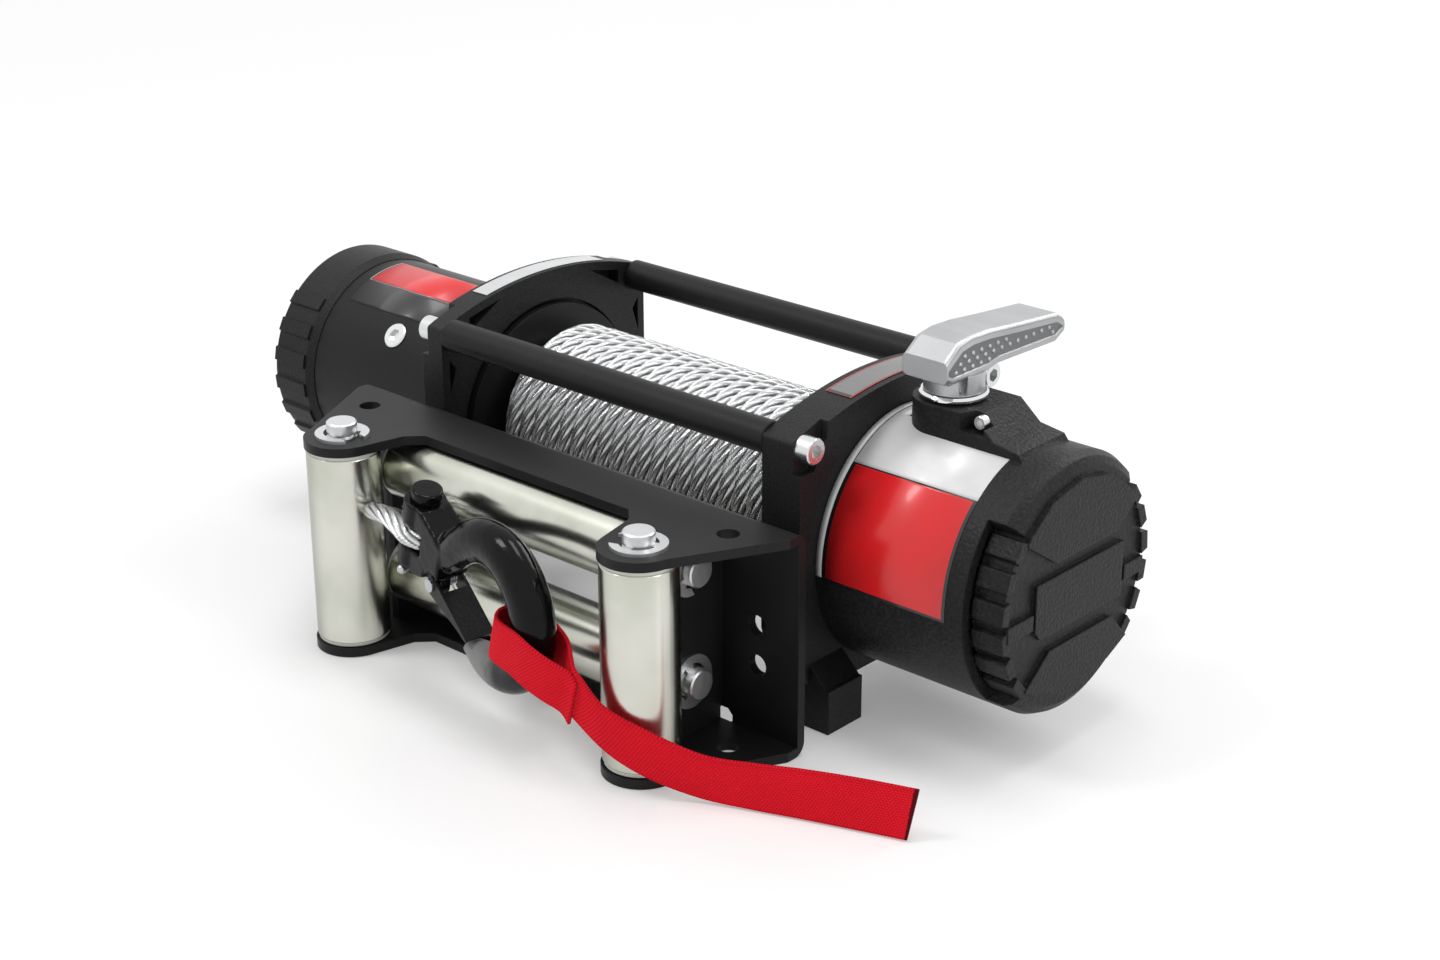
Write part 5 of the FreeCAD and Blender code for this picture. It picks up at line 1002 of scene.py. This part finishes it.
@dataclass
class LatchSpring:
    """The torsion spring on the rivet of the latch, with a leg under the latch."""

    pivot: tuple[float, float] = (25.0, -15.0)
    tip: tuple[float, float] = (58.0, -29.5)
    coil: float = 2.6
    wire: float = 0.5 * MM
    quarter_turns: int = 13
    step: float = 1.45
    middle: float = 3.25
    leg: float = 12.0
    short_leg: float = 4.5
    sides: int = 10

    def place(self, toward: float, beside: float, up: float) -> Vector:
        """A point of the latch's own frame, in millimetres from the rivet."""
        reach = math.hypot(self.tip[0] - self.pivot[0], self.tip[1] - self.pivot[1])
        along, above = (self.tip[0] - self.pivot[0]) / reach, (self.tip[1] - self.pivot[1]) / reach
        return HOOK.at(self.pivot[0] + along * toward - above * up,
                       self.pivot[1] + above * toward + along * up, beside)

    def path(self) -> list[Vector]:
        """The wire's middle line: a leg, the turns and a short leg."""
        points = []
        count = self.quarter_turns * 8
        for number in range(count + 1):
            angle = math.pi / 2 * (number / 8 + 1)
            beside = self.middle + self.step * (number / 32 - self.quarter_turns / 8)
            points.append((self.coil * math.cos(angle), beside, self.coil * math.sin(angle)))
        first, last = math.pi / 2, math.pi / 2 * (self.quarter_turns + 1)
        start = (points[0][0] + self.leg * math.sin(first), points[0][1],
                 points[0][2] - self.leg * math.cos(first))
        end = (points[-1][0] - self.short_leg * math.sin(last), points[-1][1],
               points[-1][2] + self.short_leg * math.cos(last))
        return [self.place(*point) for point in (start, *points, end)]

    def build(self) -> None:
        """Makes the spring."""
        section = [(math.tau * step / self.sides, self.wire) for step in range(self.sides)]
        side = HOOK.at(0, 0, 1) - HOOK.at(0, 0, 0)
        spring = sweep("latch_spring_coil", self.path(), section, side)
        dress(spring, Finish.MACHINED, "hook")
        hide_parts("latch_spring")


# Assemblies

def cad(frame: dict[str, Any], finish: Finish, *nodes: str) -> None:
    """Gives CAD nodes that stay their finish."""
    for name in nodes:
        node = frame["nodes"][name]
        if not node.data.materials:
            node.data.materials.append(finish.material())
        for slot in node.material_slots:
            slot.material = finish.material()
        log.info("%s: dressed as %s", name, finish.value.name)


def spun_shell(name: str, radius: float, low_x: float, high_x: float, start: float, end: float,
               thickness: float = 0.25 * MM) -> bpy.types.Object:
    """A thin sheet wrapped round the drum axis, spun from one line.

    Args:
        name: The piece's name.
        radius: Its inner radius.
        low_x: One end along the axis.
        high_x: The other end.
        start: Angle where it begins, in degrees from the top towards the front.
        end: Angle where it ends.
        thickness: Its thickness.

    Returns:
        The piece, with pattern coordinates along and down it from 0 to 1.
    """
    piece = primitive(name, bpy.ops.mesh.primitive_plane_add, size=1.0)
    bpy.ops.object.mode_set(mode="EDIT")
    work = bmesh.from_edit_mesh(piece.data)
    corners = sorted(work.verts, key=lambda vertex: (vertex.co.y, vertex.co.x))
    bmesh.ops.delete(work, geom=corners[2:], context="VERTS")
    work.verts.ensure_lookup_table()
    place = math.radians(start)
    for vertex, x in zip(work.verts, (low_x, high_x)):
        vertex.co = (x, -radius * math.sin(place), AXIS_HEIGHT + radius * math.cos(place))
        vertex.select = True
    for edge in work.edges:
        edge.select = True
    bmesh.update_edit_mesh(piece.data)
    steps = max(4, round(abs(end - start) / SPIN_DEGREES))
    bpy.ops.mesh.spin(steps=steps, angle=math.radians(start - end), center=(0.0, 0.0, AXIS_HEIGHT),
                      axis=(1.0, 0.0, 0.0))
    bpy.ops.object.mode_set(mode="OBJECT")
    while piece.data.uv_layers:
        piece.data.uv_layers.remove(piece.data.uv_layers[0])
    pattern = piece.data.uv_layers.new(name="Pattern")
    for loop in piece.data.loops:
        x, y, z = piece.data.vertices[loop.vertex_index].co
        angle = math.degrees(math.atan2(-y, z - AXIS_HEIGHT))
        pattern.data[loop.index].uv = ((x - low_x) / (high_x - low_x), (angle - start) / (end - start))
    work = bmesh.new()
    work.from_mesh(piece.data)
    for face in work.faces:
        middle = face.calc_center_median()
        out = Vector((0.0, middle.y, middle.z - AXIS_HEIGHT))
        face.normal_update()
        if face.normal.dot(out) < 0:
            face.normal_flip()
        face.smooth = True
    work.to_mesh(piece.data)
    work.free()
    apply_modifier(piece, "SOLIDIFY", thickness=thickness, offset=1.0)
    return piece


def pressed_sheet(name: str, low: Sequence[float], high: Sequence[float], target: bpy.types.Object,
                  lift: float = 0.2 * MM, cuts: int = 30) -> bpy.types.Object:
    """A thin sheet laid from above on a CAD node.

    Args:
        name: The piece's name.
        low: Lowest x and y.
        high: Highest x and y.
        target: The node it lies on.
        lift: Its height over the node.
        cuts: Steps along its longer side.

    Returns:
        The piece.
    """
    piece = primitive(name, bpy.ops.mesh.primitive_grid_add, x_subdivisions=6, y_subdivisions=cuts,
                      size=1.0)
    size = (high[0] - low[0], high[1] - low[1], 1.0)
    middle = Vector(((high[0] + low[0]) / 2, (high[1] + low[1]) / 2, 0.25))
    piece.data.transform(Matrix.Translation(middle) @ Matrix.Diagonal((*size, 1.0)))
    piece.data.uv_layers[0].name = "Pattern"
    apply_modifier(piece, "SHRINKWRAP", target=target, wrap_method="PROJECT", use_project_z=True,
                   use_negative_direction=True, use_positive_direction=False, offset=lift)
    apply_modifier(piece, "SOLIDIFY", thickness=0.2 * MM, offset=1.0)
    return piece


@dataclass
class Supports:
    """The two support castings, the tie bars between them and what is fixed to them."""

    def build(self, frame: dict[str, Any]) -> None:
        """Dresses the castings and lays the bare sheets on the arches."""
        cad(frame, Finish.CASTING, "motor_side_support", "gear_side_support")
        cad(frame, Finish.BAR_PAINT, "front_tie_bar", "rear_tie_bar")
        cad(frame, Finish.ZINC, "tie_bar_screws", "foot_square_nuts")
        cad(frame, Finish.BRONZE, "drum_bushings")
        left = pressed_sheet("motor_arch_sheet", (-126.5 * MM, -42 * MM), (-115.5 * MM, 48 * MM),
                             frame["nodes"]["motor_side_support"])
        dress(left, Finish.SILVER_LABEL, "frame")
        right = pressed_sheet("gear_arch_sheet", (117 * MM, -36 * MM), (133 * MM, 40 * MM),
                              frame["nodes"]["gear_side_support"])
        dress(right, Finish.ARCH_LABEL, "frame")


@dataclass
class Motor:
    """The motor with its end cap, leads' studs, inner parts and the printed band."""

    radius: float = 58.7 * MM
    low_x: float = -238.0 * MM
    high_x: float = -162.0 * MM

    def build(self, frame: dict[str, Any]) -> None:
        """Dresses the motor and wraps its sheets."""
        cad(frame, Finish.MOTOR_PAINT, "motor_case")
        cad(frame, Finish.CAP_PAINT, "motor_end_cap")
        cad(frame, Finish.ZINC, "pole_shoe_screws", "motor_terminals")
        cad(frame, Finish.BRONZE, "motor_bearings")
        cad(frame, Finish.MACHINED, "pole_shoes", "armature_core", "drive_shaft", "brake_hub")
        cad(frame, Finish.COPPER, "field_coils", "commutator")
        cad(frame, Finish.LINING, "brush_gear", "brake_shoes")
        red = spun_shell("motor_red_band", self.radius + 0.05 * MM, self.low_x, self.high_x, -5.0, 20.5)
        dress(red, Finish.RED_BAND, "frame")
        dark = spun_shell("motor_dark_band", self.radius + 0.05 * MM, self.low_x, self.high_x, 20.6, 38.0)
        dress(dark, Finish.DARK_LABEL, "frame")


@dataclass
class Drum:
    """The drum itself."""

    def build(self, frame: dict[str, Any]) -> None:
        """Dresses the drum."""
        cad(frame, Finish.MOTOR_PAINT, "drum")


@dataclass
class GearUnit:
    """The gear housing with its train, its sheets and the clutch ring, lock pin and set screw."""

    radius: float = 66.0 * MM
    stages: int = 3

    def build(self, frame: dict[str, Any]) -> None:
        """Dresses the housing, the gears and the clutch."""
        cad(frame, Finish.HOUSING_PAINT, "gear_housing")
        cad(frame, Finish.MACHINED, "ring_gear", "clutch_lock_pin")
        for stage in range(1, self.stages + 1):
            cad(frame, Finish.MACHINED, f"planet_carrier_{stage}")
            for letter in "abc":
                cad(frame, Finish.MACHINED, f"planet_gear_{stage}_{letter}")
        cad(frame, Finish.CHROME, "clutch_ring")
        cad(frame, Finish.ZINC, "clutch_set_screw")
        outside = self.radius + 0.05 * MM
        plan = (("housing_red_field", 141.6, 215.0, 41.0, 94.0, Finish.RED_LABEL),
                ("housing_white_field", 141.6, 215.0, 8.0, 40.9, Finish.WHITE_LABEL),
                ("housing_white_top", 141.6, 148.2, -28.0, 7.95, Finish.WHITE_LABEL),
                ("housing_strip", 137.4, 141.0, -60.0, 93.0, Finish.SILVER_LABEL))
        for name, low_x, high_x, start, end, finish in plan:
            shell = spun_shell(name, outside, low_x * MM, high_x * MM, start, end)
            dress(shell, finish, "frame")


@dataclass
class ClutchLever:
    """The clutch lever, with a sunken panel of raised dots on each side of its grip."""

    rim: float = 0.95 * MM
    bevel: float = 0.35 * MM
    sink: float = 0.7 * MM
    pitch: float = 6.6 * MM
    row: float = 3.3 * MM
    dot: float = 1.2 * MM
    clear: float = 1.5 * MM
    flat_within: float = math.radians(0.5)

    def build(self, frame: dict[str, Any]) -> None:
        """Makes the lever in the place of the CAD node."""
        lever = whole_copy(frame["nodes"]["clutch_lever"], "lever_casting")
        self.whole_sides()
        made = [lever]
        for side in (1, -1):
            outline = self.panel(lever, side)
            made += self.dots(outline, side)
        select_only(*made)
        bpy.ops.object.join()
        dress(lever, Finish.LEVER, "lever")
        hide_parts("clutch_lever")

    def whole_sides(self) -> None:
        """Joins the flat faces of the active copy."""
        bpy.ops.object.mode_set(mode="EDIT")
        bpy.ops.mesh.select_all(action="SELECT")
        bpy.ops.mesh.dissolve_limited(angle_limit=self.flat_within)
        bpy.ops.object.mode_set(mode="OBJECT")

    def panel(self, lever: bpy.types.Object, side: int) -> list[Vector]:
        """Sinks the panel into one side of the grip.

        Args:
            lever: The lever.
            side: 1 for the side that looks along +X, -1 for the other.

        Returns:
            The outline of the panel's floor.
        """
        mesh = lever.data
        grip = max((face for face in mesh.polygons if face.normal.x * side > 0.99),
                   key=lambda face: face.area).index
        select_only(lever)
        bpy.ops.object.mode_set(mode="EDIT")
        bpy.ops.mesh.select_mode(type="FACE")
        bpy.ops.mesh.select_all(action="DESELECT")
        bpy.ops.object.mode_set(mode="OBJECT")
        mesh.polygons[grip].select = True
        bpy.ops.object.mode_set(mode="EDIT")
        bpy.ops.mesh.inset(thickness=self.rim, depth=0.0)
        bpy.ops.mesh.inset(thickness=self.bevel, depth=-self.sink)
        bpy.ops.object.mode_set(mode="OBJECT")
        floor = next(face for face in mesh.polygons if face.select)
        return [mesh.vertices[number].co.copy() for number in floor.vertices]

    def dots(self, outline: Sequence[Vector], side: int) -> list[bpy.types.Object]:
        """Raised dots in staggered rows on a panel, modelled once and copied.

        Args:
            outline: The outline of the panel's floor.
            side: The way the panel looks along X.

        Returns:
            The dots.
        """
        first = primitive("dot", bpy.ops.mesh.primitive_uv_sphere_add, segments=12, ring_count=6,
                          radius=self.dot)
        first.data.shade_smooth()
        first.data.transform(Matrix.Diagonal((0.5, 1.0, 1.0, 1.0)))
        low = [min(point[axis] for point in outline) for axis in range(3)]
        high = [max(point[axis] for point in outline) for axis in range(3)]
        made = []
        rows = int((high[2] - low[2]) / self.row) + 1
        columns = int((high[1] - low[1]) / self.pitch) + 2
        for line in range(rows):
            for column in range(columns):
                y = low[1] + (column + line % 2 * 0.5) * self.pitch
                z = low[2] + (line + 0.5) * self.row
                if self.lies_on(outline, y, z):
                    dot = add_piece(f"dot_{side}_{line}_{column}", first.data.copy())
                    dot.data.transform(Matrix.Translation((low[0], y, z)))
                    made.append(dot)
        bpy.data.objects.remove(first)
        return made

    def lies_on(self, outline: Sequence[Vector], y: float, z: float) -> bool:
        """Whether a dot at this place keeps clear of the panel's outline."""
        reach = self.clear
        return all(self.within(outline, y + step_y, z + step_z) for step_y, step_z in
                   ((reach, 0), (-reach, 0), (0, reach), (0, -reach)))

    @staticmethod
    def within(outline: Sequence[Vector], y: float, z: float) -> bool:
        """Whether a place lies within a closed outline, seen along X."""
        inside = False
        for a, b in zip(outline, [*outline[1:], outline[0]]):
            if (a.z > z) != (b.z > z) and y < a.y + (b.y - a.y) * (z - a.z) / (b.z - a.z):
                inside = not inside
        return inside


@dataclass
class Fairlead:
    """The steel channel with its four rollers, pins and clips."""

    def build(self, frame: dict[str, Any]) -> None:
        """Dresses the fairlead."""
        cad(frame, Finish.STEEL_PAINT, "fairlead_bracket")
        cad(frame, Finish.UPRIGHT_ROLLER, "left_upright_roller", "right_upright_roller")
        cad(frame, Finish.LEVEL_ROLLER, "upper_level_roller", "lower_level_roller")
        cad(frame, Finish.PIN_ZINC, "roller_pins", "retaining_clips")


@dataclass
class HookUnit:
    """The forged hook with its clevis pin, latch and the ferrule of the rope."""

    voxel: float = 0.75 * MM
    softening: int = 7

    def forged(self, node: bpy.types.Object, name: str) -> bpy.types.Object:
        """A copy of a node whose edges are rounded as on a forging.

        Args:
            node: The CAD node, which is left alone.
            name: The copy's name.

        Returns:
            The copy.
        """
        piece = whole_copy(node, name)
        apply_modifier(piece, "REMESH", mode="VOXEL", voxel_size=self.voxel, use_smooth_shade=True)
        apply_modifier(piece, "SMOOTH", factor=0.5, iterations=self.softening)
        return piece

    def build(self, frame: dict[str, Any]) -> None:
        """Dresses the hook."""
        forging = self.forged(frame["nodes"]["hook_body"], "hook_forging")
        dress(forging, Finish.FORGING, "hook")
        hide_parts("hook_body")
        cad(frame, Finish.FORGING, "clevis_pin")
        cad(frame, Finish.LATCH_PAINT, "hook_latch")
        cad(frame, Finish.MACHINED, "split_pin", "latch_rivet", "eye_ferrule")


@dataclass(frozen=True)
class Lamp:
    """A large soft lamp that looks at the middle of the object."""

    name: str
    place: tuple[float, float, float]
    size: tuple[float, float]
    power: float
    looks_at: tuple[float, float, float] = (0.0, 0.0, 0.08)

    def build(self) -> None:
        """Makes the lamp."""
        light = bpy.data.lights.new(self.name, "AREA")
        light.shape = "RECTANGLE"
        light.size, light.size_y = self.size
        light.energy = self.power
        lamp = add_piece(self.name, light)
        lamp.location = self.place
        way = Vector(self.looks_at) - Vector(self.place)
        lamp.rotation_euler = way.to_track_quat("-Z", "Y").to_euler()


@dataclass
class Studio:
    """Pale floor, soft lamps and the camera at the photograph's angle."""

    lamps: tuple[Lamp, ...] = (Lamp("key", (-0.9, -1.1, 2.1), (0.5, 0.8), 17.0),
                               Lamp("back", (0.3, 1.9, 1.7), (1.6, 0.6), 16.0),
                               Lamp("right", (2.0, 0.1, 1.1), (0.3, 1.1), 7.0),
                               Lamp("top", (0.1, 0.2, 2.4), (1.2, 0.6), 17.0))
    floor_side: float = 14.0
    floor_height: float = -0.0004
    camera_place: tuple[float, float, float] = (0.8387, -0.9169, 0.5880)
    azimuth: float = 41.9
    elevation: float = 22.51
    roll: float = 0.11
    focal_share: float = 2503.6 / 1440.0
    sensor: float = 36.0
    world_light: float = 0.55
    paper_white: float = 0.55
    # Painted shade: near the object the floor gets only a small share of white, rising over the fade
    # distances.
    white_share_in_painted_shade: float = 0.22
    painted_shade_fade: tuple[float, float] = (0.12, 0.62)

    def build(self) -> None:
        """Makes the floor, the lamps, the world and the camera."""
        self.floor()
        for lamp in self.lamps:
            lamp.build()
        self.world()
        self.camera()

    def floor(self) -> None:
        """A wide pale floor that keeps the object's shadow, with painted shade round the object."""
        floor = primitive("floor", bpy.ops.mesh.primitive_plane_add, size=self.floor_side,
                          location=(0, 0, 0))
        floor.data.transform(Matrix.Translation((0.0, 0.0, self.floor_height)))
        floor.data.materials.append(self.paper())

    def paper(self) -> bpy.types.Material:
        """White paper that keeps part of the object's shadow, with painted shade where its white glow fades
        near the object.
        """
        wiring = Wiring("floor")
        paper = wiring.add("ShaderNodeBsdfPrincipled", {
            "Base Color": (0.93, 0.93, 0.93), "Roughness": 0.3, "Specular IOR Level": 0.3})
        white = wiring.add("ShaderNodeEmission", {"Color": WHITE, "Strength": 1.0})
        # Painted shade: the white emission is weaker near the middle, so the floor under and round the
        # object looks darker whatever the lamps do.
        away = wiring.add("ShaderNodeVectorMath", operation="LENGTH")
        wiring.feed(away.inputs[0], wiring.place())
        far = Value(wiring, away.outputs["Value"]).ramp(*self.painted_shade_fade)
        bare = wiring.mix(far * self.paper_white + self.white_share_in_painted_shade, paper.outputs[0], white.outputs[0])
        look = wiring.mix(self.straight_look(wiring), paper.outputs[0], bare)
        wiring.add("ShaderNodeOutputMaterial", {"Surface": look})
        return wiring.owner

    @staticmethod
    def straight_look(wiring: Wiring) -> Value:
        """1 where the camera or gloss looks straight at a surface, else 0."""
        path = wiring.add("ShaderNodeLightPath")
        seen, glossy, passing = (Value(wiring, path.outputs[f"Is {kind} Ray"])
                                 for kind in ("Camera", "Glossy", "Transmission"))
        return seen.larger(glossy).larger(passing)

    def world(self) -> None:
        """An even pale world, white where the camera and gloss look straight at it."""
        world = bpy.data.worlds.new("studio")
        bpy.context.scene.world = world
        wiring = Wiring("studio", world)
        skies = [wiring.add("ShaderNodeBackground", {"Color": WHITE, "Strength": strength}).outputs[0]
                 for strength in (self.world_light, 1.0)]
        mixed = wiring.mix(self.straight_look(wiring), *skies)
        wiring.add("ShaderNodeOutputWorld", {"Surface": mixed})

    def camera(self) -> None:
        """The camera where the photograph was taken from."""
        a, e = math.radians(self.azimuth), math.radians(self.elevation)
        forward = Vector((-math.sin(a) * math.cos(e), math.cos(a) * math.cos(e), -math.sin(e)))
        right = Vector((math.cos(a), math.sin(a), 0.0))
        up = right.cross(forward)
        turn = Matrix.Rotation(math.radians(self.roll), 3, forward)
        right, up = turn @ right, turn @ up
        data = bpy.data.cameras.new("camera")
        data.sensor_width = self.sensor
        data.lens = self.focal_share * self.sensor
        camera = add_piece("camera", data)
        camera.matrix_world = Matrix.Translation(self.camera_place) @ Matrix(
            (right, up, -forward)).transposed().to_4x4()
        bpy.context.scene.camera = camera
        bpy.context.scene.view_settings.view_transform = "Standard"


def main() -> None:
    """Builds the winch and the studio round it."""
    logging.basicConfig(level=logging.INFO, format="%(name)s %(message)s")
    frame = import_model()
    for assembly in (Supports(), Motor(), Drum(), GearUnit(), ClutchLever(), Fairlead(), HookUnit()):
        log.info("building %s", type(assembly).__name__)
        assembly.build(frame)
    for soft_part in (DrumRope(), PullStrap(), LatchSpring()):
        log.info("building %s", type(soft_part).__name__)
        soft_part.build()
    Studio().build()


if __name__ == "__main__":
    main()
